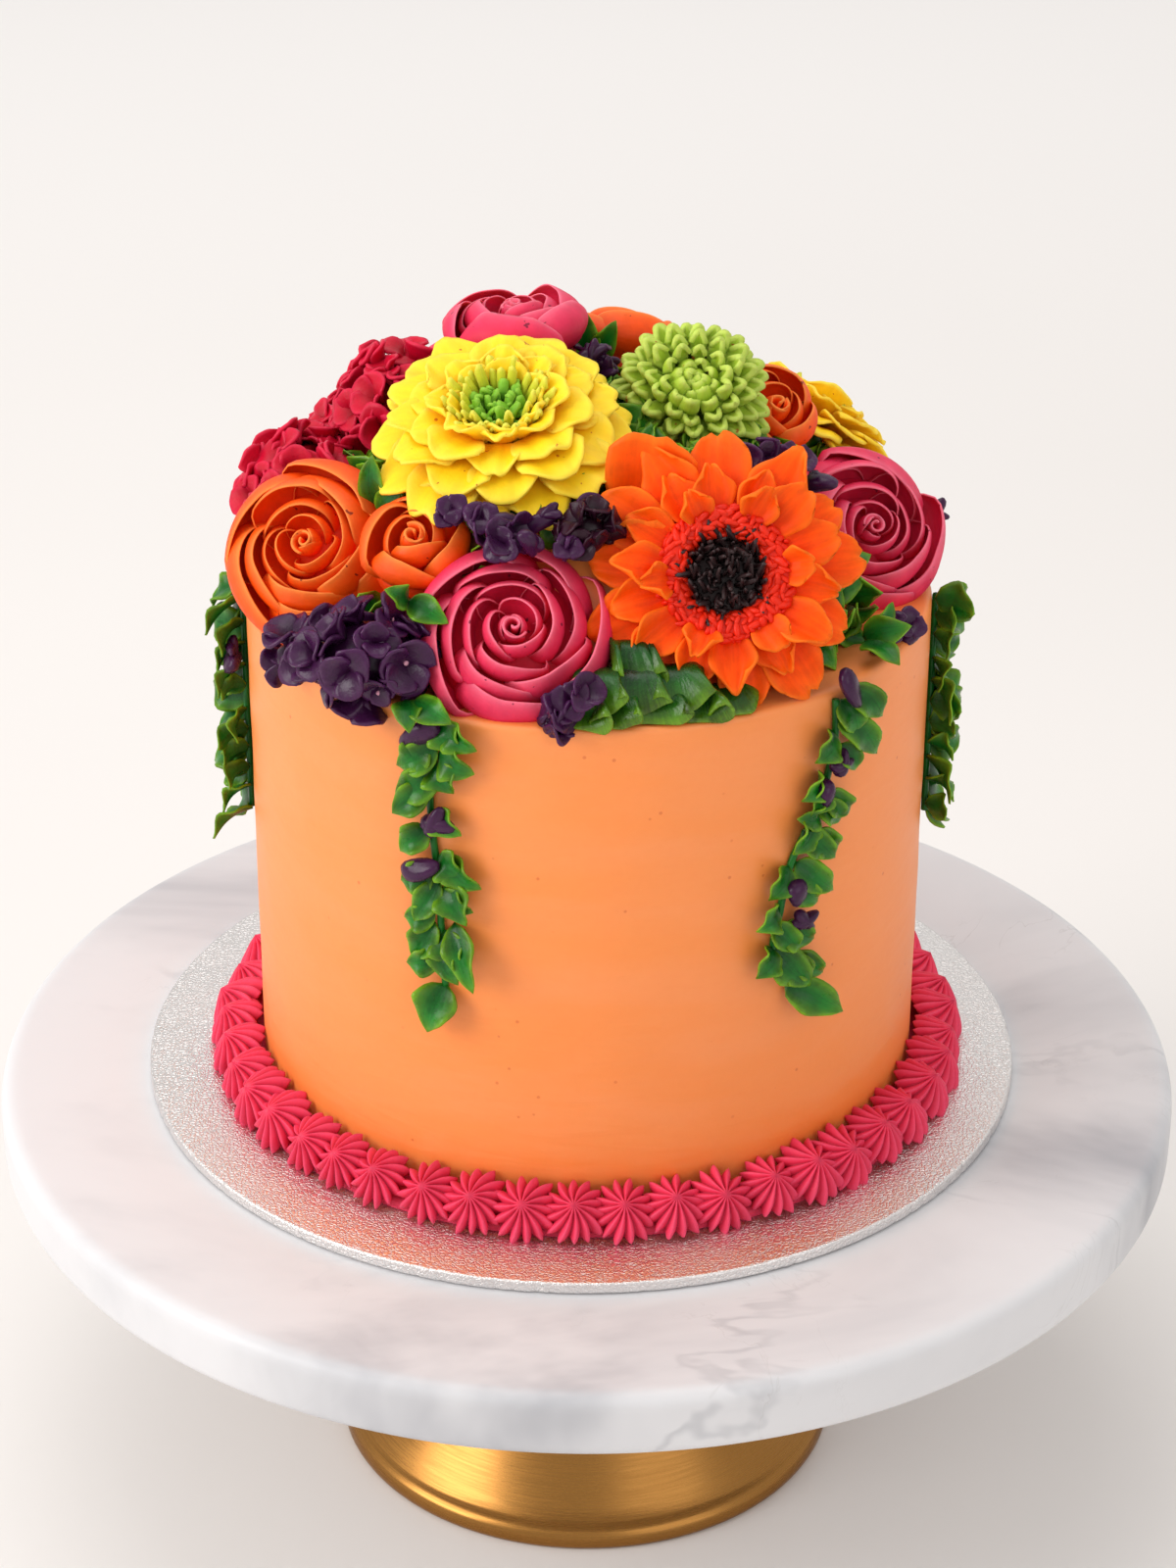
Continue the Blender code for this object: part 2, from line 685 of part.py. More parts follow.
def vine(name, route, leaves, buds, collection, seed=0):
    """Vine down the cake's side.

    `route` is a list of (azimuth in degrees, height). `leaves` gives the share of the route
    at which each leaf starts, and whether it points left (-1), right (1) or down (0).
    `buds` gives the shares of the route at which a bud sits.
    """
    draw = random.Random(SEED + seed)
    points = [on_side(math.radians(azimuth), height) for azimuth, height in route]
    curve = bpy.data.curves.new(name + "_stem", "CURVE")
    curve.dimensions = "3D"
    curve.bevel_depth = VINE_STEM
    curve.bevel_resolution = 0
    curve.use_fill_caps = True
    spline = curve.splines.new("POLY")
    spline.points.add(len(points) - 1)
    for point, place in zip(spline.points, points):
        point.co = (*place, 1.0)
    stem = bpy.data.objects.new(name + "_stem", curve)
    collection.objects.link(stem)
    mesh = evaluated_mesh(stem)
    bpy.data.objects.remove(stem, do_unlink=True)
    bm = bmesh.new()
    bm.from_mesh(mesh)
    bmesh.ops.remove_doubles(bm, verts=bm.verts, dist=0.00001)
    bmesh.ops.recalc_face_normals(bm, faces=bm.faces)
    core = from_bmesh(name, bm, collection)
    pieces = new_collection(name + "_leaves")
    for share, turn in leaves:
        place, tangent = along_route(points, share)
        outward = Vector((place.x, place.y, 0.0)).normalized()
        side = outward.cross(Vector((0.0, 0.0, 1.0)))
        direction = tangent * (1.0 - 0.35 * abs(turn)) - side * turn + outward * draw.uniform(0.15, 0.4)
        length = 0.0088 * (1.0 + 0.15 * draw.uniform(-1.0, 1.0))
        leaf(pieces, place, direction, outward + 0.2 * tangent, length, 0.8 * length, 0.0008, NARROW_LEAF)
    for share in buds:
        place, tangent = along_route(points, share)
        outward = Vector((place.x, place.y, 0.0)).normalized()
        bud(pieces, place + outward * 0.0022, tangent + 0.8 * outward.cross(tangent), 0.0085, 0.0052)
    return fuse(core, pieces)


def along_route(points, share):
    """Place and direction at a share of a route's length."""
    spans = [(points[index + 1] - points[index]).length for index in range(len(points) - 1)]
    target = share * sum(spans)
    for index, span in enumerate(spans):
        if target <= span or index == len(spans) - 1:
            break
        target -= span
    tangent = (points[index + 1] - points[index]).normalized()
    return points[index] + tangent * target, tangent


# The bouquet


def place_flower(item, place, normal, spin=0.0):
    """Move a flower made at the origin to its place on the mound, in world coordinates."""
    item.data.transform(facing([value * MM for value in place], normal, spin))
    return item


def mm(values):
    """Tuple of millimetres as metres."""
    return tuple(value * MM for value in values)


def build_flowers(parts):
    """Flowers in the order in which they keep their room: the first ones are not cut back."""
    made = []

    def put(item, place, normal, spin, colour):
        made.append((place_flower(item, place, normal, spin), colour))

    put(rose("magenta_rose_front", 23.0 * MM, parts, 4, 15, 1),
        (-17.2, -70.5, 270.5), (0.0, -0.86, 0.5), 0.4, "magenta_buttercream")
    put(gerbera("orange_gerbera", 33.5 * MM, parts, 2),
        (31.8, -62, 280), (0.06, -0.86, 0.5), 0.1, "orange_buttercream")
    put(zinnia("yellow_zinnia", 33.5 * MM, parts, True, 3),
        (-21, -24, 303.5), (-0.08, -0.36, 0.93), 0.0, "yellow_buttercream")
    put(rose("orange_rose_left", 23.0 * MM, parts, 4, 15, 4),
        (-67.5, -35, 276), (-0.26, -0.76, 0.6), 0.9, "orange_buttercream")
    put(rose("magenta_rose_right", 21.5 * MM, parts, 4, 15, 5),
        (69.5, -11, 270.5), (0.4, -0.72, 0.56), 0.2, "magenta_buttercream")
    put(chrysanthemum("green_chrysanthemum", 19.5 * MM, parts, 6),
        (25.5, -6, 306), (0.06, -0.7, 0.72), 0.0, "green_buttercream")
    put(rose("orange_rosebud", 15.5 * MM, parts, 3, 12, 7),
        (-40.5, -49, 284), (-0.1, -0.72, 0.69), 0.3, "orange_buttercream")
    put(rose("magenta_rose_top", 19.5 * MM, parts, 3, 14, 8),
        (-19, 22, 315), (-0.04, -0.1, 1.0), 0.5, "magenta_buttercream")
    put(rose("orange_rose_right", 13.0 * MM, parts, 3, 12, 9),
        (46, 8, 294.5), (0.3, -0.5, 0.8), 1.0, "orange_buttercream")
    put(zinnia("yellow_zinnia_right", 31.0 * MM, parts, False, 10),
        (56, 44, 277), (0.5, 0.4, 0.77), 0.0, "yellow_buttercream")
    put(rose("orange_rose_back", 19.5 * MM, parts, 3, 14, 11),
        (6, 50, 300), (0.05, 0.5, 0.86), 0.6, "orange_buttercream")
    put(rose("magenta_rose_back", 23.0 * MM, parts, 3, 14, 12),
        (-33, 68, 280), (-0.3, 0.8, 0.5), 0.0, "magenta_buttercream")
    put(zinnia("yellow_zinnia_back", 29.0 * MM, parts, False, 13),
        (20, 76, 274), (0.1, 0.8, 0.6), 0.0, "yellow_buttercream")
    return made


def build_clusters(parts):
    """Blossom clusters and small buds, which fill the gaps between the flowers."""
    made = []
    magenta_lobes = [
        (mm((-46.5, 21, 287.5)), mm((14, 18, 14.5))),
        (mm((-70, 8, 269.5)), mm((15, 22, 14.5))),
        (mm((-55, 45, 267)), mm((18, 18, 15))),
    ]
    made.append((blossom_cluster("magenta_blossoms", magenta_lobes, 12, 8.2 * MM, parts, 20),
                 "magenta_buttercream"))
    purple_lobes = [
        (mm((-51, -68, 261)), mm((14, 11, 11))),
        (mm((-65, -57, 256)), mm((11, 8, 7))),
    ]
    made.append((blossom_cluster("purple_blossoms", purple_lobes, 10, 6.2 * MM, parts, 24, -0.7),
                 "purple_buttercream"))
    back_lobes = [(mm((-4, 76, 256)), mm((13, 7, 8)))]
    made.append((blossom_cluster("purple_blossoms_back", back_lobes, 5, 6.0 * MM, parts, 22, -0.2),
                 "purple_buttercream"))
    groups = {
        "purple_buds_middle": [(-25, -52, 290), (-18, -54, 290), (-11, -52, 290), (-4, -50, 289),
                               (1, -48, 286), (-33, -50, 290)],
        "purple_buds_top": [(0, 14, 303), (4, 14, 301), (2, 20, 302)],
        "purple_buds_right": [(43, -24, 293), (49, -22, 291), (37, -25, 294), (54, -20, 288)],
        "purple_buds_rim": [(-7, -84, 254), (-11, -83, 252), (-4, -82, 257)],
        "purple_buds_far_right": [(73, -37, 254), (77, -32, 253), (70, -42, 254)],
        "dark_beads_right": [(85, 13, 262), (86, 18, 259), (83, 24, 257)],
    }
    for seed, (name, places) in enumerate(groups.items()):
        points = [mm(place) for place in places]
        made.append((bud_group(name, points, 8.5 * MM, 5.5 * MM, parts, 30 + seed), "purple_buttercream"))
    petals = [
        (mm((6, -38, 277)), (0.1, -0.3, 0.95), (0.0, -0.95, 0.25), 26 * MM, 20 * MM),
        (mm((3, -46, 271)), (-0.35, -0.3, 0.75), (0.0, -0.8, 0.5), 19 * MM, 18 * MM),
    ]
    made.append((leaf_group("orange_petals", petals, parts), "orange_buttercream"))
    return made


def build_leaves(parts):
    """Loose leaves between the flowers and the ruffled leaves on the rim."""
    groups = {
        "leaf_left": [
            (mm((-50, -30, 284)), (-0.1, -0.2, 1.0), (-0.4, -0.8, 0.3), 14 * MM, 8 * MM),
            (mm((-49, -32, 282)), (0.45, -0.3, 0.8), (-0.3, -0.8, 0.4), 11 * MM, 7 * MM),
        ],
        "leaf_under_bud": [
            (mm((-41, -66, 274)), (0.8, -0.45, -0.25), (0.0, -0.8, 0.6), 11 * MM, 7 * MM),
            (mm((-42, -66, 275)), (-0.4, -0.4, 0.4), (0.0, -0.8, 0.6), 8 * MM, 6 * MM),
        ],
        "leaf_top": [
            (mm((-1, 32, 298)), (-0.1, -0.1, 1.0), (0.1, -1.0, 0.2), 15 * MM, 8 * MM),
            (mm((1, 32, 298)), (0.5, -0.1, 0.9), (0.1, -1.0, 0.2), 12 * MM, 7 * MM),
        ],
        "leaf_right": [
            (mm((66, -44, 256)), (0.8, -0.2, 0.3), (0.4, -0.8, 0.5), 12 * MM, 8 * MM),
            (mm((66, -46, 255)), (0.55, -0.65, -0.1), (0.3, -0.6, 0.8), 12 * MM, 8 * MM),
            (mm((68, -42, 256)), (0.5, 0.2, 0.8), (0.4, -0.8, 0.3), 9 * MM, 6 * MM),
        ],
        "leaf_left_rim": [
            (mm((-40, -78, 254)), (0.6, -0.5, -0.1), (0.0, -0.7, 0.7), 12 * MM, 8 * MM),
            (mm((-42, -77, 254)), (0.1, -0.8, -0.3), (0.0, -0.5, 0.9), 10 * MM, 7 * MM),
        ],
    }
    made = []
    for name, leaves in groups.items():
        made.append((leaf_group(name, leaves, parts), "leaf_buttercream"))
    ruffle = []
    for index in range(7):
        azimuth = math.radians(-1.0 + 4.6 * index)
        upper = index % 2
        reach = 0.0765 - 0.003 * upper
        place = (reach * math.sin(azimuth), -reach * math.cos(azimuth), CAKE_TOP + 0.0035 + 0.0065 * upper)
        direction = (0.5 if upper else -0.2, -0.9, 0.15)
        ruffle.append((place, direction, (0.1, -0.6, 1.0), 12 * MM, 13 * MM))
    made.append((ruffled_row("leaf_ruffle", ruffle, parts), "leaf_buttercream"))
    return made


def ruffled_row(name, leaves, collection):
    """Row of broad leaves that overlap along the rim."""
    first = Vector(leaves[0][0])
    last = Vector(leaves[-1][0])
    middle = sum((Vector(item[0]) for item in leaves), Vector()) / len(leaves)
    core = bud(collection, middle, last - first, (last - first).length * 1.15, 0.014)
    core.name = name
    core.data.transform(core.matrix_world)
    core.matrix_world = Matrix.Identity(4)
    pieces = new_collection(name + "_leaves")
    for place, direction, normal, length, width in leaves:
        leaf(pieces, place, direction, normal, length, width, 0.0018, BROAD_LEAF)
    return fuse(core, pieces)


# Leaf patterns of the long and the short vines: share of the route and side
LONG_VINE = [(0.04, 1), (0.16, -1), (0.3, 1), (0.45, -1), (0.6, 1), (0.74, -1), (0.87, 1), (0.96, 0)]
SHORT_VINE = [(0.05, 1), (0.24, -1), (0.42, 1), (0.62, -1), (0.8, 1), (0.95, 0)]


def build_vines(parts):
    """Vines that hang from the rim: two in front, one on each side and one behind."""
    made = []
    routes = {
        "vine_front_left": ([(-24, 249), (-25, 238), (-25, 224), (-24, 206), (-23.5, 190), (-23, 174)],
                            [0.04, 0.36, 0.5]),
        "vine_front_right": ([(42, 249), (42, 237), (39, 223), (34.5, 210), (32, 197), (31.5, 185), (35, 170)],
                             [0.06, 0.26, 0.36, 0.78]),
        "vine_left": ([(-88, 249), (-89, 236), (-87, 222), (-88, 208), (-89, 194)], [0.2]),
        "vine_right": ([(86, 250), (88, 238), (87, 222), (88, 206), (87, 192)], [0.5]),
        "vine_back": ([(152, 249), (150, 236), (153, 220), (151, 204), (150, 190)], [0.5]),
    }
    for seed, (name, (route, buds)) in enumerate(routes.items()):
        points = [(azimuth, height * MM) for azimuth, height in route]
        leaves = LONG_VINE if "front" in name else SHORT_VINE
        made.append((vine(name, points, leaves, buds, parts, 60 + seed), "leaf_buttercream"))
    return made


def set_finish(item, name, finishes):
    """Give an object its material, each material made once."""
    if name not in finishes:
        finishes[name] = finish(name)
    item.data.materials.clear()
    item.data.materials.append(finishes[name])


def main():
    """Build every piece, fit the neighbours to each other and finish them."""
    clear_scene()
    parts = new_collection(OBJECT_NAME)
    cutters = new_collection("cutters")
    finishes = {}
    base = [
        (build_foot(parts), "brushed_brass"),
        (build_plate(parts), "white_marble"),
        (build_board(parts), "silver_foil"),
        (build_cake(parts), "peach_buttercream"),
    ]
    for item, colour in base:
        apply_modifiers(item)
        set_finish(item, colour, finishes)
        item.data.shade_smooth()
        item.data.set_sharp_from_angle(angle=math.radians(35))
    cake_room = as_cutter(turned("cake_envelope", cake_profile(GAP), CAKE_STEPS, cutters))
    apply_modifiers(cake_room)
    board_profile = [(0.13, BOARD_TOP + GAP), (0.13, 0.0), (0.0, 0.0)]
    board_room = as_cutter(turned("board_envelope", [(0.0, BOARD_TOP + GAP)] + board_profile, 32, cutters))
    apply_modifiers(board_room)
    border = build_border(parts)
    cut(border, [cake_room, board_room])
    set_finish(border, "pink_buttercream", finishes)

    kept = []
    trimmed = build_flowers(parts) + build_clusters(parts) + build_leaves(parts) + build_vines(parts)
    for item, colour in trimmed:
        box = box_of(item)
        near = [room for room, room_box in kept if boxes_meet(box, room_box)]
        cut(item, [cake_room] + near)
        set_finish(item, colour, finishes)
        room = hull_cutter(item, cutters)
        kept.append((room, box_of(room)))


main()
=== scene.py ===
"""Buttercream flower cake on a silver board, a marble plate and a brass foot."""

import functools
import json
import math

import bpy
import numpy as np
from mathutils import Matrix, Vector

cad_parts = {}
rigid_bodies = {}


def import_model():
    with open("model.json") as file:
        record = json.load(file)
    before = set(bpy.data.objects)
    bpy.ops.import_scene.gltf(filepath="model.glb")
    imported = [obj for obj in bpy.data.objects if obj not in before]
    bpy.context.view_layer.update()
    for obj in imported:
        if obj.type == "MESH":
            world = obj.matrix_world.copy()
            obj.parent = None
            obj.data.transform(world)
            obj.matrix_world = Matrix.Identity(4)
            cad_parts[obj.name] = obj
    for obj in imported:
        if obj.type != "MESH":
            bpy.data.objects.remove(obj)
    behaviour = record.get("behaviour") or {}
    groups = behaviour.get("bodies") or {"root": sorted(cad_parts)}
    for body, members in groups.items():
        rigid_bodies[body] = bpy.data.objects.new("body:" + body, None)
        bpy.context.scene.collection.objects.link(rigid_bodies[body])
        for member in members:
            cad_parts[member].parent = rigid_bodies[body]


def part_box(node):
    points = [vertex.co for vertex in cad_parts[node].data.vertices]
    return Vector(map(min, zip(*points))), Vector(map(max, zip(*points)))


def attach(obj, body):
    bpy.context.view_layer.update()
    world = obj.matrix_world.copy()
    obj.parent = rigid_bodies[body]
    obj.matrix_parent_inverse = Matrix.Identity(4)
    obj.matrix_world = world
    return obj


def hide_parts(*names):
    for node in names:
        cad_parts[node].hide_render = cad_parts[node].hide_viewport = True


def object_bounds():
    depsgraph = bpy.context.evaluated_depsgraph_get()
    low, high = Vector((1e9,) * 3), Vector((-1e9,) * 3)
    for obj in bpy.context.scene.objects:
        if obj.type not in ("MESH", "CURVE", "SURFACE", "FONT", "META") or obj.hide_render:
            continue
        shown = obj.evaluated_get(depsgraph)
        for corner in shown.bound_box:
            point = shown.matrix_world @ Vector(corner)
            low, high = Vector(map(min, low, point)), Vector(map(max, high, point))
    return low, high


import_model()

bl_info = {
    "name": "Flower cake on a marble stand",
    "version": (1, 0, 0),
    "blender": (4, 5, 0),
    "location": "View3D > Sidebar > Flower cake",
    "description": "Buttercream flower cake on a silver board, a marble plate and a brass foot",
    "category": "Add Mesh",
}

MM = 0.001
BODY = "root"
CAD_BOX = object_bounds()
POINT_VALUES = ("along", "across", "edge", "tone")


def colour(red, green, blue):
    """Linear colour of a colour read on a screen, from 0 to 255."""
    made = []
    for value in (red, green, blue):
        value /= 255.0
        made.append(value / 12.92 if value <= 0.04045 else ((value + 0.055) / 1.055) ** 2.4)
    return tuple(made)


def paint(red, green, blue):
    """Colour for a shader's socket, from 0 to 255."""
    return (*colour(red, green, blue), 1.0)


# Sizes and colours that a user would change


def length_property(name, description, default):
    """Length in metres."""
    return bpy.props.FloatProperty(
        name=name, description=description, default=default, min=0.0, precision=4, unit="LENGTH"
    )


def colour_property(name, description, default):
    """Colour of a finish."""
    return bpy.props.FloatVectorProperty(
        name=name, description=description, default=default, size=3, min=0.0, max=1.0, subtype="COLOR"
    )


def high(name):
    """Highest corner of a node of the frame."""
    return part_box(name)[1]


def low(name):
    """Lowest corner of a node of the frame."""
    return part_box(name)[0]


class CakeSizes(bpy.types.PropertyGroup):
    """Sizes of the stand, the board and the cake."""

    foot_radius: length_property("Foot radius", "Radius of the brass foot at its lip", high("stand_foot").y)
    neck_radius: length_property("Neck radius", "Narrowest radius of the brass foot", 0.034)
    plate_radius: length_property("Plate radius", "Radius of the marble plate", high("stand_plate").y)
    plate_bottom: length_property("Plate underside", "Height of the plate's underside", low("stand_plate").z)
    plate_top: length_property("Plate top", "Height of the plate's top", high("stand_plate").z)
    board_radius: length_property("Board radius", "Radius of the silver board", high("cake_board").y)
    board_bottom: length_property("Board underside", "Height of the board's underside", low("cake_board").z)
    board_top: length_property("Board top", "Height of the board's top", high("cake_board").z)
    cake_radius: length_property("Cake radius", "Radius of the iced cake", high("cake").y)
    cake_bottom: length_property("Cake underside", "Height of the cake's underside", low("cake").z)
    cake_top: length_property("Cake top", "Height of the cake's flat top", 0.251)
    mound_radius: length_property("Mound radius", "Radius of the icing mound under the flowers", 0.068)
    mound_top: length_property("Mound top", "Height of the top of the icing mound", high("cake").z)
    star_ring: length_property("Star ring", "Radius of the ring of piped stars", 0.0925)
    star_radius: length_property("Star radius", "Radius of one piped star", 0.0080)
    star_height: length_property("Star height", "Height of one piped star", 0.0074)
    star_count: bpy.props.IntProperty(name="Stars", description="Stars round the cake", default=47, min=3)


class CakeColours(bpy.types.PropertyGroup):
    """Colours of the icing and the stand."""

    peach: colour_property("Peach", "Icing of the cake", colour(246, 141, 64))
    pink: colour_property("Pink", "Stars round the cake", colour(232, 58, 92))
    magenta: colour_property("Magenta", "Magenta roses and blossoms", colour(226, 44, 84))
    crimson: colour_property("Crimson", "Small crimson blossoms", colour(194, 4, 42))
    orange: colour_property("Orange", "Orange roses and the large orange flower", colour(250, 80, 0))
    coral: colour_property("Coral", "Crinkled ring of the large orange flower", colour(230, 38, 8))
    yellow: colour_property("Yellow", "Yellow flowers", colour(255, 213, 22))
    lime: colour_property("Lime", "Green flower", colour(172, 200, 58))
    leaf: colour_property("Leaf", "Leaves and vines", colour(16, 104, 28))
    purple: colour_property("Purple", "Purple blossoms and buds", colour(58, 18, 58))
    dark: colour_property("Dark", "Eye of the orange flower", colour(40, 12, 14))
    brass: colour_property("Brass", "Brass foot", colour(160, 113, 58))
    marble: colour_property("Marble", "Marble plate", colour(217, 216, 218))
    foil: colour_property("Foil", "Silver board", colour(240, 237, 235))


# Shapes


class Shape:
    """Points, faces and point values that are gathered before they become one mesh."""

    def __init__(self):
        self.points = []
        self.values = []
        self.corners = []
        self.sizes = []
        self.count = 0

    def add(self, points, faces, values):
        """Take points (n, 3), faces with the same number of corners and values (n, 4)."""
        faces = np.asarray(faces, dtype=np.int64)
        self.points.append(np.asarray(points, dtype=np.float64))
        self.values.append(np.asarray(values, dtype=np.float64))
        self.corners.append(faces.ravel() + self.count)
        self.sizes.append(np.full(len(faces), faces.shape[1]))
        self.count += len(points)
        return self

    def more_faces(self, faces):
        """Take faces between points that are here already, by their places in the last block."""
        faces = np.asarray(faces, dtype=np.int64)
        self.corners.append(faces.ravel() + self.count - len(self.points[-1]))
        self.sizes.append(np.full(len(faces), faces.shape[1]))

    def take(self, source, matrix=None):
        """Take all of a mesh or of another shape, placed by a matrix."""
        mesh = source.mesh("part") if isinstance(source, Shape) else source
        count = len(mesh.vertices)
        points = np.empty(count * 3)
        mesh.vertices.foreach_get("co", points)
        points = points.reshape(-1, 3)
        if matrix is not None:
            place = np.array(matrix)
            points = points @ place[:3, :3].T + place[:3, 3]
        values = np.tile((0.5, 0.0, 0.0, 0.5), (count, 1))
        for column, name in enumerate(POINT_VALUES):
            held = mesh.attributes.get(name)
            if held is not None and held.domain == "POINT":
                read = np.empty(count)
                held.data.foreach_get("value", read)
                values[:, column] = read
        corners = np.empty(len(mesh.loops), dtype=np.int64)
        mesh.loops.foreach_get("vertex_index", corners)
        sizes = np.empty(len(mesh.polygons), dtype=np.int64)
        mesh.polygons.foreach_get("loop_total", sizes)
        self.points.append(points)
        self.values.append(values)
        self.corners.append(corners + self.count)
        self.sizes.append(sizes)
        self.count += count
        return self

    def mesh(self, name):
        """One smooth mesh with the point values as attributes."""
        points = np.concatenate(self.points)
        values = np.concatenate(self.values)
        corners = np.concatenate(self.corners)
        sizes = np.concatenate(self.sizes)
        made = bpy.data.meshes.new(name)
        made.vertices.add(len(points))
        made.vertices.foreach_set("co", points.ravel())
        made.loops.add(len(corners))
        made.loops.foreach_set("vertex_index", corners)
        made.polygons.add(len(sizes))
        made.polygons.foreach_set("loop_start", np.concatenate(([0], np.cumsum(sizes)[:-1])))
        made.update(calc_edges=True)
        made.validate()
        made.polygons.foreach_set("use_smooth", np.ones(len(made.polygons), dtype=bool))
        for column, label in enumerate(POINT_VALUES):
            held = made.attributes.new(label, "FLOAT", "POINT")
            held.data.foreach_set("value", values[:, column])
        return made


def waves(values, draw, count=4, base=1.6):
    """Smooth irregular line over the values, about -1 to 1."""
    total = np.zeros_like(values, dtype=np.float64)
    for step in range(1, count + 1):
        total += draw.uniform(0.4, 1.0) / step * np.sin(base * step * values + draw.uniform(0.0, 6.28))
    return total / 1.4


def sheet(points, thickness, edge):
    """Closed thin solid round a grid of points whose rows run from the root to the tip."""
    rows, columns = points.shape[:2]
    normal = np.cross(np.gradient(points, axis=0), np.gradient(points, axis=1))
    normal /= np.maximum(np.linalg.norm(normal, axis=2, keepdims=True), 1e-12)
    half = 0.5 * np.broadcast_to(thickness, (rows, columns))[..., None] * normal
    grid = np.arange(rows * columns).reshape(rows, columns)
    upper = np.stack((grid[:-1, :-1], grid[1:, :-1], grid[1:, 1:], grid[:-1, 1:]), axis=-1).reshape(-1, 4)
    lower = upper[:, ::-1] + rows * columns
    loop = np.concatenate((grid[:-1, 0], grid[-1, :-1], grid[:0:-1, -1], grid[0, :0:-1]))
    after = np.roll(loop, -1)
    rim = np.stack((after, loop, loop + rows * columns, after + rows * columns), axis=-1)
    along = np.repeat(np.linspace(0.0, 1.0, rows), columns)
    across = np.tile(np.linspace(-1.0, 1.0, columns), rows)
    values = np.stack((along, across, edge.ravel(), np.full(rows * columns, 0.5)), axis=-1)
    both = np.concatenate(((points + half).reshape(-1, 3), (points - half).reshape(-1, 3)))
    return Shape().add(both, np.concatenate((upper, lower, rim)), np.concatenate((values, values)))


def share_grid(rows, columns):
    """Shares from root to tip (0 to 1) and from side to side (-1 to 1)."""
    along = np.linspace(0.0, 1.0, rows)[:, None] * np.ones((1, columns))
    across = np.linspace(-1.0, 1.0, columns)[None, :] * np.ones((rows, 1))
    return along, across


def petal(length, width, seed, base=0.4, blunt=0.3, notch=0.0, ragged=0.03, point=0.0, cup=0.0,
          arch=0.0, droop=0.0, crease=0.0, curl=0.6, fold=0.0, thick=1.3, rows=11, columns=13):
    """Petal that starts at the origin and lies along +X, in millimetres."""
    draw = np.random.default_rng(seed)
    u, v = share_grid(rows, columns)
    half = 0.5 * width * (base + (1.0 - base) * np.sin(0.5 * math.pi * np.minimum(u / 0.68, 1.0)))
    half = half * (1.0 - point * np.clip((u - 0.55) / 0.45, 0.0, 1.0) ** 1.6)
    tip = -blunt * np.abs(v) ** 2.3 - notch * np.exp(-(v / 0.2) ** 2) + ragged * waves(v, draw, 5, 3.1)
    side = 1.0 + 0.06 * waves(u, draw, 3, 4.0)
    x = length * u * (1.0 + tip * u ** 1.3)
    y = half * v * side + 0.05 * width * draw.uniform(-1.0, 1.0) * u ** 2
    z = arch * np.sin(math.pi * u) - droop * u ** 2 + cup * v ** 2 * (0.25 + 0.75 * u)
    z = z + crease * np.cos(2.6 * math.pi * v + draw.uniform(-0.6, 0.6)) * u * (1.25 - u)
    z = z + curl * waves(v, draw, 3, 2.4) * u ** 2.5
    z = z + fold * np.clip(draw.choice([-1.0, 1.0]) * v - 0.1, 0.0, 1.0) ** 1.5 * u ** 0.8
    thickness = thick * (1.0 - 0.6 * u) * (1.0 - 0.3 * v ** 2)
    edge = np.maximum(np.abs(v) ** 5, u ** 9)
    return sheet(np.stack((x, y, z), axis=-1) * MM, thickness * MM, edge)


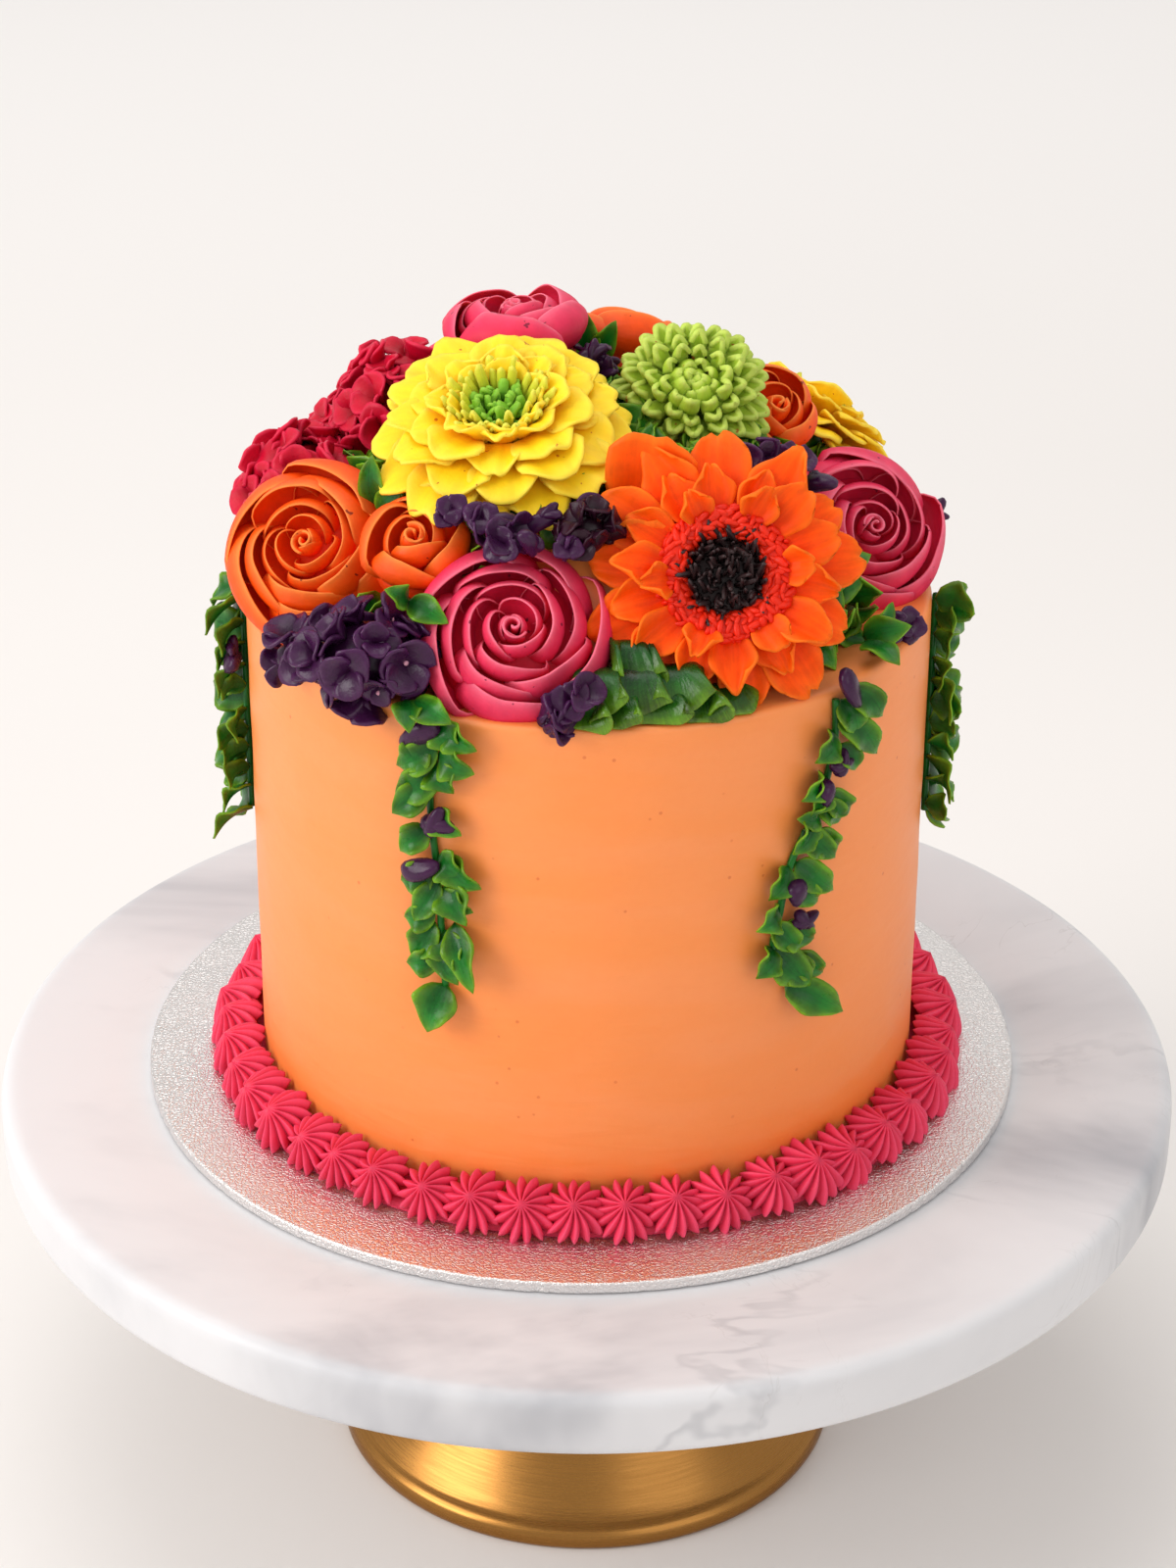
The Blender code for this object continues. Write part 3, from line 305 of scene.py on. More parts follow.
def wall_petal(root, belly, edge, half_turn, seed, lip=0.5, wave=0.4, thick=1.2, rows=14, columns=27):
    """Petal wrapped round the axis, in millimetres: its root, belly and edge are (radius, height).

    Its edge is a bow. The left end tucks in under the next petal, and the right end runs down
    over the outside of the petal before it. Both ends fold back to the root.
    """
    draw = np.random.default_rng(seed)
    u, v = share_grid(rows, columns)
    u = 1.0 - (1.0 - u) ** 1.45
    peak = draw.uniform(-0.3, 0.15)
    tuck, flat = draw.uniform(0.12, 0.3), draw.uniform(0.0, 0.12)
    right = v > peak
    off = np.abs(v - peak) / np.where(right, 1.0 - peak, 1.0 + peak)
    root, belly, edge = (np.array(value, dtype=np.float64) for value in (root, belly, edge))
    edge = edge * np.array((1.0 + 0.05 * draw.uniform(-1.0, 1.0), 1.0)) + (0.0, 0.5 * draw.uniform(-1.0, 1.0))
    drop = np.where(right, off ** 2.7, off ** 3.2)
    back = np.clip((off - 0.62) / 0.38, 0.0, 1.0) ** 1.7
    out = np.minimum(off / 0.7, 1.0) ** 1.5
    crest = np.where(right, edge[0] + out * (1.01 * belly[0] - edge[0]), edge[0] * (1.0 - tuck * off ** 1.5))
    waist = belly[0] * np.where(right, 1.0 + 0.03 * out, 1.0 - 0.75 * tuck * off ** 1.5)
    edge_radius = crest * (1.0 + flat * v ** 2) * (1.0 - back) + (root[0] + 0.6) * back
    belly_radius = waist * (1.0 + 0.6 * flat * v ** 2) * (1.0 - back) + root[0] * back
    edge_rise = edge[1] + drop * (root[1] + 0.4 - edge[1])
    belly_rise = belly[1] + 0.95 * drop * (root[1] - belly[1])
    bend_radius = 2.0 * belly_radius - 0.5 * (root[0] + edge_radius)
    bend_rise = 2.0 * belly_rise - 0.5 * (root[1] + edge_rise)
    first, middle, last = (1.0 - u) ** 2, 2.0 * u * (1.0 - u), u ** 2
    radius = first * root[0] + middle * bend_radius + last * edge_radius
    rise = first * root[1] + middle * bend_rise + last * edge_rise
    roll = np.clip((u - 0.8) / 0.2, 0.0, 1.0)
    radius = radius + lip * roll ** 2 * (1.0 - 0.8 * off)
    radius = radius + wave * waves(v, draw, 3, 2.2) * u ** 2
    rise = rise - 0.35 * lip * roll ** 3 + 0.8 * wave * waves(v, draw, 4, 2.4) * u ** 3
    angle = math.radians(half_turn) * (1.0 + 0.08 * draw.uniform(-1.0, 1.0)) * v
    points = np.stack((radius * np.cos(angle) - root[0], radius * np.sin(angle), rise - root[1]), axis=-1)
    thickness = thick * (1.0 - 0.68 * u ** 1.5) * (1.0 - 0.6 * np.abs(v) ** 3)
    return sheet(points * MM, thickness * MM, u ** 16 * (1.0 - 0.7 * back))


def rolled_centre(unit, seed):
    """Tight roll in the middle of a rose, in millimetres times `unit`."""
    draw = np.random.default_rng(seed)
    rows, columns = 8, 44
    u, v = share_grid(rows, columns)
    share = 0.5 * (v + 1.0)
    angle = 2.0 * math.pi * 1.35 * share + draw.uniform(0.0, 6.28)
    radius = (0.35 + 2.5 * share ** 0.9) * (0.75 + 0.25 * u) + 0.5 * u ** 4 * share
    rise = -6.0 + u * (8.4 - 1.2 * share + 0.4 * np.sin(angle * 1.5))
    points = np.stack((radius * np.cos(angle), radius * np.sin(angle), rise), axis=-1)
    edge = np.maximum(u ** 9, np.where(share > 0.985, 0.6, 0.0))
    return sheet(points * MM * unit, 0.9 * (1.0 - 0.4 * u) * MM * unit, edge)


def leaf_blade(length, width, seed, wave=0.8, fold=0.12, arch=1.0, thick=0.95, rows=13, columns=11):
    """Pointed cupped leaf along +X, in millimetres."""
    draw = np.random.default_rng(seed)
    u, v = share_grid(rows, columns)
    outline = np.sin(math.pi * np.clip(u, 0.0, 1.0) ** 0.72) ** 0.78 * (1.0 - 0.1 * u) + 0.05 * (1.0 - u)
    half = 0.5 * width * np.maximum(outline, 0.015) * (1.0 + 0.1 * waves(u, draw, 3, 5.5))
    x = length * (u - 0.05) + 0.03 * length * waves(v, draw, 3, 2.5) * np.sin(math.pi * u)
    y = half * v + 0.06 * width * draw.uniform(-1.0, 1.0) * np.sin(math.pi * u)
    bow = np.sin(math.pi * u)
    z = fold * width * np.abs(v) ** 1.3 * bow + arch * bow - 0.3 * arch * u ** 2
    ripple = np.sin(9.0 * u + 1.5 * np.sign(v) + draw.uniform(-1.0, 1.0))
    z = z + wave * np.abs(v) ** 1.6 * ripple * bow
    thickness = thick * (1.0 - 0.45 * np.abs(v)) * (1.0 - 0.4 * u)
    edge = np.maximum(np.abs(v) ** 3, u ** 8)
    return sheet(np.stack((x, y, z), axis=-1) * MM, thickness * MM, edge)


def pebble(length, width, seed, rows=9, columns=14, taper=0.4, crease=0.2):
    """Piped bud: a drop along X that tapers to its tip, with a soft crease, in millimetres."""
    draw = np.random.default_rng(seed)
    polar = np.linspace(0.0, math.pi, rows)[1:-1, None]
    share = 0.5 * (1.0 - np.cos(polar))
    turn = np.linspace(0.0, 2.0 * math.pi, columns, endpoint=False)[None, :]
    swell = 1.12 + 0.14 * np.sin(2.0 * turn + draw.uniform(0.0, 6.28)) - taper * share ** 1.4
    swell = swell + 0.08 * np.sin(3.0 * turn + 4.0 * share + draw.uniform(0.0, 6.28))
    for side in draw.uniform(0.0, 6.28, 2):
        away = np.angle(np.exp(1j * (turn - side)))
        swell = swell - crease * np.exp(-(away / 0.4) ** 2) * np.sin(math.pi * share)
    x = -0.5 * length * np.cos(polar) * np.ones_like(turn)
    round_share = np.sin(polar) ** 0.75
    y = 0.5 * width * round_share * np.cos(turn) * swell
    y = y + 0.08 * length * np.sin(polar) * draw.uniform(-1.0, 1.0)
    z = 0.45 * width * round_share * np.sin(turn) * swell + 0.05 * length * np.sin(polar)
    end = 0.5 * length * MM
    made = capped_rings(np.stack((x, y, z), axis=-1) * MM, (-end, 0, 0), (end, 0, 0))
    made.values[0][:, 0] = 0.7
    return made


def capped_rings(rings, first, last):
    """Closed solid through rings of points that run round the way from `first` to `last`."""
    rows, columns = rings.shape[:2]
    points = np.concatenate((rings.reshape(-1, 3), [first, last]))
    grid = np.arange(rows * columns).reshape(rows, columns)
    after = np.roll(grid, -1, axis=1)
    quads = np.stack((grid[:-1], after[:-1], after[1:], grid[1:]), axis=-1).reshape(-1, 4)
    top, bottom = rows * columns, rows * columns + 1
    start = np.stack((np.full(columns, top), after[0], grid[0]), axis=-1)
    end = np.stack((np.full(columns, bottom), grid[-1], after[-1]), axis=-1)
    along = np.concatenate((np.repeat(np.linspace(0.0, 1.0, rows), columns), [0.0, 1.0]))
    across = np.concatenate((np.tile(np.linspace(-1.0, 1.0, columns), rows), [0.0, 0.0]))
    values = np.stack((along, across, np.zeros_like(along), np.full_like(along, 0.5)), axis=-1)
    first, second, third, fourth = (points[quads[:, corner]] for corner in range(4))
    volume = np.einsum("ij,ij->i", first, np.cross(second, third)).sum()
    volume += np.einsum("ij,ij->i", first, np.cross(third, fourth)).sum()
    made = Shape()
    if volume < 0.0:
        quads, start, end = quads[:, ::-1], start[:, ::-1], end[:, ::-1]
    made.add(points, quads, values)
    made.more_faces(start)
    made.more_faces(end)
    return made


def lathe(profile, steps, centre=(0.0, 0.0), wobble=None):
    """Closed solid turned from a profile that runs from the top of the axis to its bottom."""
    profile = np.asarray(profile, dtype=np.float64)
    turn = np.linspace(0.0, 2.0 * math.pi, steps, endpoint=False)[None, :]
    radius = profile[1:-1, 0][:, None] * np.ones_like(turn)
    height = profile[1:-1, 1][:, None] * np.ones_like(turn)
    if wobble is not None:
        radius, height = wobble(radius, height, turn)
    rings = np.stack((radius * np.cos(turn) + centre[0], radius * np.sin(turn) + centre[1], height), axis=-1)
    first = (centre[0], centre[1], profile[0, 1])
    last = (centre[0], centre[1], profile[-1, 1])
    return capped_rings(rings, first, last)


def rounded(corner, towards, away, radius, steps):
    """Points of a rounded corner of a profile, with a holding point on each side."""
    corner, towards, away = (np.asarray(value, dtype=np.float64) for value in (corner, towards, away))
    into = (towards - corner) / np.linalg.norm(towards - corner)
    out = (away - corner) / np.linalg.norm(away - corner)
    start, end = corner + into * radius, corner + out * radius
    made = [tuple(start + into * 0.4 * radius)]
    for share in np.linspace(0.0, 1.0, steps):
        bend = (1.0 - share) ** 2 * start + 2.0 * share * (1.0 - share) * corner + share ** 2 * end
        made.append(tuple(bend))
    made.append(tuple(end + out * 0.4 * radius))
    return made


# Trees of nodes

# Most points on a square metre, and the range of the number that picks a pattern
MOST_POINTS = 4.0e6
PICKS = 97.0


def feed(tree, made, inputs):
    """Give each input of a node its value, or link it to the socket that feeds it."""
    for name, value in inputs.items():
        if isinstance(value, bpy.types.NodeSocket):
            tree.links.new(value, made.inputs[name])
        else:
            made.inputs[name].default_value = value
    return made


def node(tree, kind, inputs=None, **settings):
    """Node with its settings and its inputs."""
    made = tree.nodes.new(kind)
    for name, value in settings.items():
        setattr(made, name, value)
    return feed(tree, made, inputs or {})


def calc(tree, operation, first, second=0.0):
    """Output of a Math node."""
    return node(tree, "ShaderNodeMath", {0: first, 1: second}, operation=operation).outputs[0]


def times(tree, first, second):
    """Output of a product."""
    return calc(tree, "MULTIPLY", first, second)


def plus(tree, first, second):
    """Output of a sum."""
    return calc(tree, "ADD", first, second)


def vector(tree, x=0.0, y=0.0, z=0.0):
    """Output of a vector made of three numbers."""
    return node(tree, "ShaderNodeCombineXYZ", {0: x, 1: y, 2: z}).outputs[0]


def node_tree(name, kind, inputs, outputs):
    """Tree with its named inputs, some with a start value, and its named outputs."""
    tree = bpy.data.node_groups.new(name, kind)
    for label, socket, *value in inputs:
        made = tree.interface.new_socket(name=label, in_out="INPUT", socket_type="NodeSocket" + socket)
        if value:
            made.default_value = value[0]
    for label, socket in outputs:
        tree.interface.new_socket(name=label, in_out="OUTPUT", socket_type="NodeSocket" + socket)
    return tree, node(tree, "NodeGroupInput").outputs


def geometry_tree(name, inputs):
    """Geometry Nodes tree with a geometry input and output and its named inputs."""
    shape = ("Geometry", "Geometry")
    return node_tree(name, "GeometryNodeTree", [shape, *inputs], [shape])


def random_value(tree, start, number, smallest, largest):
    """Random number for each point; each use of it has a number of its own."""
    seed = plus(tree, start["Seed"], float(number))
    return node(tree, "FunctionNodeRandomValue", {"Seed": seed, 2: smallest, 3: largest},
                data_type="FLOAT").outputs[1]


def uneven(tree, start, number, spread_name):
    """Random number for each point, up to a named spread to either side of zero."""
    return times(tree, random_value(tree, start, number, -1.0, 1.0), start[spread_name])


def instances(tree, start, points, rotation, scale):
    """Instances picked at random from the patterns, turned and scaled."""
    source = node(tree, "GeometryNodeCollectionInfo",
                  {"Collection": start["Patterns"], "Separate Children": True, "Reset Children": True})
    return node(tree, "GeometryNodeInstanceOnPoints", {
        "Points": points, "Instance": source.outputs[0], "Pick Instance": True,
        "Instance Index": random_value(tree, start, 5, 0.0, PICKS), "Rotation": rotation, "Scale": scale,
    }).outputs[0]


def turned(tree, made, rotation):
    """Instances turned about their own places."""
    return node(tree, "GeometryNodeRotateInstances",
                {"Instances": made, "Rotation": rotation, "Local Space": True}).outputs[0]


def painted(tree, start, made):
    """The tree with its end: instances made real, and the material set."""
    real = node(tree, "GeometryNodeRealizeInstances", {"Geometry": made}).outputs[0]
    done = node(tree, "GeometryNodeSetMaterial", {"Geometry": real, "Material": start["Material"]})
    node(tree, "NodeGroupOutput", {"Geometry": done.outputs[0]})
    return tree


def toned(tree, start, made):
    """The tree with its end, which also stores a random tone for each instance."""
    tone = random_value(tree, start, 6, 0.0, 1.0)
    stored = node(tree, "GeometryNodeStoreNamedAttribute",
                  {"Geometry": made, "Name": "tone", "Value": tone}, data_type="FLOAT", domain="INSTANCE")
    return painted(tree, start, stored.outputs[0])


@functools.cache
def ring_tree():
    """Tree that sets patterns in a ring: petals round a flower, or stars round the cake."""
    tree, start = geometry_tree("ring_of_patterns", [
        ("Patterns", "Collection"), ("Count", "Int"), ("Radius", "Float"), ("Height", "Float"),
        ("Lean", "Float"), ("Lean spread", "Float"), ("Size spread", "Float"), ("Turn", "Float"),
        ("Turn spread", "Float"), ("Spin spread", "Float"), ("Height spread", "Float"), ("Seed", "Int"),
        ("Material", "Material"),
    ])
    index = node(tree, "GeometryNodeInputIndex").outputs[0]
    points = node(tree, "GeometryNodePoints", {"Count": start["Count"]}).outputs[0]
    step = plus(tree, plus(tree, index, start["Turn"]), uneven(tree, start, 1, "Turn spread"))
    angle = calc(tree, "DIVIDE", times(tree, step, 2.0 * math.pi), start["Count"])
    across = times(tree, start["Radius"], calc(tree, "COSINE", angle))
    deep = times(tree, start["Radius"], calc(tree, "SINE", angle))
    up = plus(tree, start["Height"], uneven(tree, start, 7, "Height spread"))
    points = node(tree, "GeometryNodeSetPosition",
                  {"Geometry": points, "Position": vector(tree, across, deep, up)}).outputs[0]
    lean = plus(tree, start["Lean"], uneven(tree, start, 2, "Lean spread"))
    scale = plus(tree, uneven(tree, start, 3, "Size spread"), 1.0)
    made = instances(tree, start, points, vector(tree, 0.0, lean, angle), scale)
    made = turned(tree, made, vector(tree, z=uneven(tree, start, 4, "Spin spread")))
    return toned(tree, start, made)


@functools.cache
def scatter_tree():
    """Tree that scatters patterns over a surface: beads, bristles, blossoms or leaves."""
    tree, start = geometry_tree("scatter_of_patterns", [
        ("Patterns", "Collection"), ("Distance", "Float"), ("Size spread", "Float"),
        ("Tip spread", "Float"), ("Seed", "Int"), ("Material", "Material"),
    ])
    found = node(tree, "GeometryNodeDistributePointsOnFaces", {
        "Mesh": start["Geometry"], "Distance Min": start["Distance"], "Density Max": MOST_POINTS,
        "Seed": start["Seed"],
    }, distribute_method="POISSON").outputs
    scale = plus(tree, uneven(tree, start, 3, "Size spread"), 1.0)
    made = instances(tree, start, found["Points"], found["Rotation"], scale)
    tips = [uneven(tree, start, number, "Tip spread") for number in (1, 2)]
    made = turned(tree, made, vector(tree, *tips))
    made = turned(tree, made, vector(tree, z=random_value(tree, start, 4, 0.0, 2.0 * math.pi)))
    return toned(tree, start, made)


@functools.cache
def placed_tree():
    """Tree that sets a pattern on each point of a mesh, by the point's own turn and size."""
    tree, start = geometry_tree("placed_patterns", [
        ("Patterns", "Collection"), ("Seed", "Int"), ("Material", "Material"),
    ])
    own = [node(tree, "GeometryNodeInputNamedAttribute", {"Name": name}, data_type="FLOAT_VECTOR").outputs[0]
           for name in ("turned", "scaled")]
    return toned(tree, start, instances(tree, start, start["Geometry"], *own))


@functools.cache
def stem_tree():
    """Tree that draws a round stem along a line of points."""
    tree, start = geometry_tree("round_stem", [("Radius", "Float"), ("Material", "Material")])
    line = node(tree, "GeometryNodeMeshToCurve", {"Mesh": start["Geometry"]}).outputs[0]
    smooth = node(tree, "GeometryNodeCurveSplineType", {"Curve": line}, spline_type="CATMULL_ROM").outputs[0]
    even = node(tree, "GeometryNodeResampleCurve", {"Curve": smooth, "Count": 48}).outputs[0]
    ring = node(tree, "GeometryNodeCurvePrimitiveCircle", {"Resolution": 8, "Radius": start["Radius"]})
    tube = node(tree, "GeometryNodeCurveToMesh",
                {"Curve": even, "Profile Curve": ring.outputs[0], "Fill Caps": True})
    return painted(tree, start, tube.outputs[0])


def grown(tree, values, source=None):
    """Plain mesh that a tree makes from a source mesh and the values of its named inputs."""
    item = bpy.data.objects.new("growing", source or bpy.data.meshes.new("empty"))
    bpy.context.scene.collection.objects.link(item)
    step = item.modifiers.new("grow", "NODES")
    step.node_group = tree
    for socket in tree.interface.items_tree:
        if socket.in_out == "INPUT" and socket.name in values:
            step[socket.identifier] = values[socket.name]
    graph = bpy.context.evaluated_depsgraph_get()
    graph.update()
    mesh = bpy.data.meshes.new_from_object(item.evaluated_get(graph))
    bpy.data.objects.remove(item, do_unlink=True)
    return mesh


def pattern_set(shapes):
    """Collection of pattern objects that a tree picks from."""
    made = bpy.data.collections.new("patterns")
    bpy.context.scene.collection.children.link(made)
    for shape in shapes:
        made.objects.link(bpy.data.objects.new("pattern", shape.mesh("pattern")))
    return made


def drop_patterns():
    """Remove every pattern once its piece is made."""
    for collection in [item for item in bpy.data.collections if item.name.startswith("patterns")]:
        for item in list(collection.objects):
            bpy.data.objects.remove(item, do_unlink=True)
        bpy.data.collections.remove(collection)


def ring_of(patterns, count, radius, height, lean, material, seed, lean_spread=4.0, size_spread=0.05,
            turn=0.0, turn_spread=0.08, spin_spread=0.0, height_spread=0.0):
    """Mesh of a ring of patterns; lengths are in metres and leans in degrees."""
    return grown(ring_tree(), {
        "Patterns": patterns, "Count": count, "Radius": radius, "Height": height,
        "Lean": math.radians(lean), "Lean spread": math.radians(lean_spread), "Size spread": size_spread,
        "Turn": turn, "Turn spread": turn_spread, "Spin spread": spin_spread,
        "Height spread": height_spread, "Seed": seed, "Material": material,
    })


def placed_points(placings):
    """Mesh of points that hold the turn and the scale of what is placed on them."""
    mesh = bpy.data.meshes.new("places")
    mesh.from_pydata([matrix.translation for matrix, scale in placings], [], [])
    turned = mesh.attributes.new("turned", "FLOAT_VECTOR", "POINT")
    scaled = mesh.attributes.new("scaled", "FLOAT_VECTOR", "POINT")
    for index, (matrix, scale) in enumerate(placings):
        turned.data[index].vector = matrix.to_euler()
        scaled.data[index].vector = scale
    return mesh


def place_all(patterns, placings, material, seed):
    """Mesh of patterns placed one by one."""
    values = {"Patterns": patterns, "Seed": seed, "Material": material}
    return grown(placed_tree(), values, placed_points(placings))


def facing(place, normal, spin):
    """Matrix that puts a piece at its place with its own +Z along the normal."""
    turn = Vector(normal).to_track_quat("Z", "Y").to_matrix().to_4x4()
    return Matrix.Translation(place) @ turn @ Matrix.Rotation(spin, 4, "Z")


def lying(place, direction, normal):
    """Matrix that puts a piece at its place, its +X along a direction and its +Z near a normal."""
    along = Vector(direction).normalized()
    side = Vector(normal).cross(along).normalized()
    turn = Matrix((along, side, along.cross(side))).transposed().to_4x4()
    return Matrix.Translation(place) @ turn


def mm(values):
    """Vector in metres from millimetres."""
    return Vector([value * MM for value in values])


def add_piece(name, shape, material, nodes=()):
    """Object of a finished piece, which rides on the body and stands for its nodes."""
    made = bpy.data.objects.new(name, shape.mesh(name))
    top = CAD_BOX[1].z
    for vert in made.data.vertices:
        vert.co.z = min(vert.co.z, top)
    made.data.materials.append(material)
    bpy.context.scene.collection.objects.link(made)
    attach(made, BODY)
    if nodes:
        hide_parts(*nodes)


# Materials


def value_of(tree, name):
    """Output of a point value."""
    return node(tree, "ShaderNodeAttribute", attribute_type="GEOMETRY", attribute_name=name).outputs["Fac"]


def object_place(tree):
    """Output of the place on the object, in metres."""
    return node(tree, "ShaderNodeTexCoord").outputs["Object"]


def noise(tree, place, scale, detail=2.0, roughness=0.5, distortion=0.0):
    """Output of a noise of about 0 to 1."""
    return node(tree, "ShaderNodeTexNoise", {
        "Vector": place, "Scale": scale, "Detail": detail, "Roughness": roughness, "Distortion": distortion,
    }).outputs[0]


def spread(tree, value, low_value, high_value, to_low=0.0, to_high=1.0):
    """Output of a value taken from one range to another, smoothly."""
    return node(tree, "ShaderNodeMapRange", {
        "Value": value, "From Min": low_value, "From Max": high_value, "To Min": to_low, "To Max": to_high,
    }, interpolation_type="SMOOTHSTEP").outputs[0]


def blend(tree, share, first, second, kind="MIX"):
    """Output of a mix of two colours."""
    return node(tree, "ShaderNodeMix", {0: share, 6: first, 7: second},
                data_type="RGBA", blend_type=kind).outputs[2]


def point_noise(tree, across, along, tone):
    """Output of a noise that runs with a petal and differs from one petal to the next."""
    parts = (("across", across), ("along", along), ("tone", tone))
    place = vector(tree, *[times(tree, value_of(tree, name), factor) for name, factor in parts])
    return noise(tree, place, 1.0, 3.0, 0.6)


@functools.cache
def icing_tint_group():
    """Colour of piped icing: painted shade deeper at the root, a painted highlight lighter on thin edges (on
    leaves also a yellower green), a tone for each petal.
    """
    tree, start = node_tree("icing_tint", "ShaderNodeTree", [
        ("Body", "Color", (1, 1, 1, 1)), ("Edge", "Color", (1, 1, 1, 1)), ("Deep", "Color", (0, 0, 0, 1)),
        ("Edge share", "Float", 0.7), ("Deep share", "Float", 0.7), ("Mottle", "Float", 0.25),
    ], [("Colour", "Color")])
    mottle = spread(tree, noise(tree, object_place(tree), 160.0, 4.0, 0.6), 0.3, 0.7)
    streak = spread(tree, point_noise(tree, 7.0, 1.2, 31.0), 0.35, 0.75)
    # Painted shade: the deep colour towards the root of each petal and in grooves.
    deep_shade = times(tree, spread(tree, value_of(tree, "along"), 0.75, 0.0), start["Deep share"])
    made = blend(tree, deep_shade, start["Body"], start["Deep"])
    # Painted highlight on thin edges; on leaves the edge colour is also a yellower green.
    light = times(tree, value_of(tree, "edge"), start["Edge share"])
    made = blend(tree, light, made, start["Edge"])
    shift = plus(tree, times(tree, mottle, 0.5), times(tree, streak, 0.3))
    shift = plus(tree, shift, times(tree, value_of(tree, "tone"), 0.4))
    shift = times(tree, calc(tree, "SUBTRACT", shift, 0.6), start["Mottle"])
    bright = plus(tree, shift, 1.0)
    grey = node(tree, "ShaderNodeCombineColor", {0: bright, 1: bright, 2: bright}).outputs[0]
    node(tree, "NodeGroupOutput", {"Colour": blend(tree, 1.0, made, grey, "MULTIPLY")})
    return tree


@functools.cache
def icing_grain_group():
    """Height of the fine surface of icing: grain, drag lines from the tip and small air holes."""
    tree, start = node_tree("icing_grain", "ShaderNodeTree", [
        ("Grain", "Float", 0.3), ("Drag", "Float", 0.4), ("Holes", "Float", 0.3), ("Scale", "Float", 900.0),
    ], [("Height", "Float"), ("Holes", "Float")])
    place = object_place(tree)
    fine = times(tree, noise(tree, place, start["Scale"], 3.0, 0.6), start["Grain"])
    drag = times(tree, point_noise(tree, 2.0, 9.0, 17.0), start["Drag"])
    cells = node(tree, "ShaderNodeTexVoronoi", {"Vector": place, "Scale": 190.0}, feature="F1")
    rare = spread(tree, noise(tree, place, 55.0, 1.0), 0.52, 0.62)
    holes = times(tree, spread(tree, cells.outputs["Distance"], 0.11, 0.05), rare)
    pit = times(tree, holes, start["Holes"])
    height = calc(tree, "SUBTRACT", plus(tree, fine, drag), pit)
    node(tree, "NodeGroupOutput", {"Height": height, "Holes": pit})
    return tree


def new_material(name, constants):
    """Material with its Principled shader's constants set on the shader's own sockets."""
    made = bpy.data.materials.new(name)
    made.use_nodes = True
    tree = made.node_tree
    return made, tree, feed(tree, tree.nodes["Principled BSDF"], constants)


def surfaced(tree, shader, tinted, roughness, height, strength, distance):
    """Feed a shader its colour, its roughness and the relief of its surface."""
    bump = node(tree, "ShaderNodeBump", {"Height": height, "Strength": strength, "Distance": distance})
    feed(tree, shader, {"Base Color": tinted, "Roughness": roughness, "Normal": bump.outputs[0]})


def lifted(base, share):
    """Colour moved towards white by a share."""
    return (*[value + (1.0 - value) * share for value in base], 1.0)


def sunk(base, factors):
    """Colour multiplied by a factor for each channel."""
    return (*[value * factor for value, factor in zip(base, factors)], 1.0)


def icing_material(name, base, edge, deep, roughness=0.5, mottle=0.25, edge_highlight_and_tint_share=0.7, deep_shade_share=0.7,
                   drag=0.5, subsurface=0.1, coat=0.0, specular=0.26, specks=None):
    """Material of piped icing, with small specks of another icing on it where their colour is given."""
    _, tree, shader = new_material(name, {
        "Subsurface Weight": subsurface, "Subsurface Scale": 0.003, "Subsurface Radius": (1.0, 0.45, 0.25),
        "Coat Weight": coat, "Coat Roughness": 0.2, "Specular IOR Level": specular,
    })
    # The edge colour is a painted highlight (on leaves also a yellower green) and the deep colour is painted
    # shade at roots and in grooves.
    tint = node(tree, "ShaderNodeGroup", {
        "Body": (*base, 1.0), "Edge": edge, "Deep": deep, "Edge share": edge_highlight_and_tint_share,
        "Deep share": deep_shade_share, "Mottle": mottle,
    }, node_tree=icing_tint_group())
    grain = node(tree, "ShaderNodeGroup", {"Grain": 0.3, "Drag": drag}, node_tree=icing_grain_group())
    place = object_place(tree)
    tinted = tint.outputs["Colour"]
    if specks:
        spot = noise(tree, place, 330.0, 2.0, 0.6)
        tinted = blend(tree, spread(tree, spot, 0.705, 0.73, 0.0, 0.85), tinted, specks)
    sheen = spread(tree, noise(tree, place, 260.0, 3.0), 0.2, 0.8, roughness - 0.07, roughness + 0.1)
    surfaced(tree, shader, tinted, sheen, grain.outputs["Height"], 0.35, 0.0007)


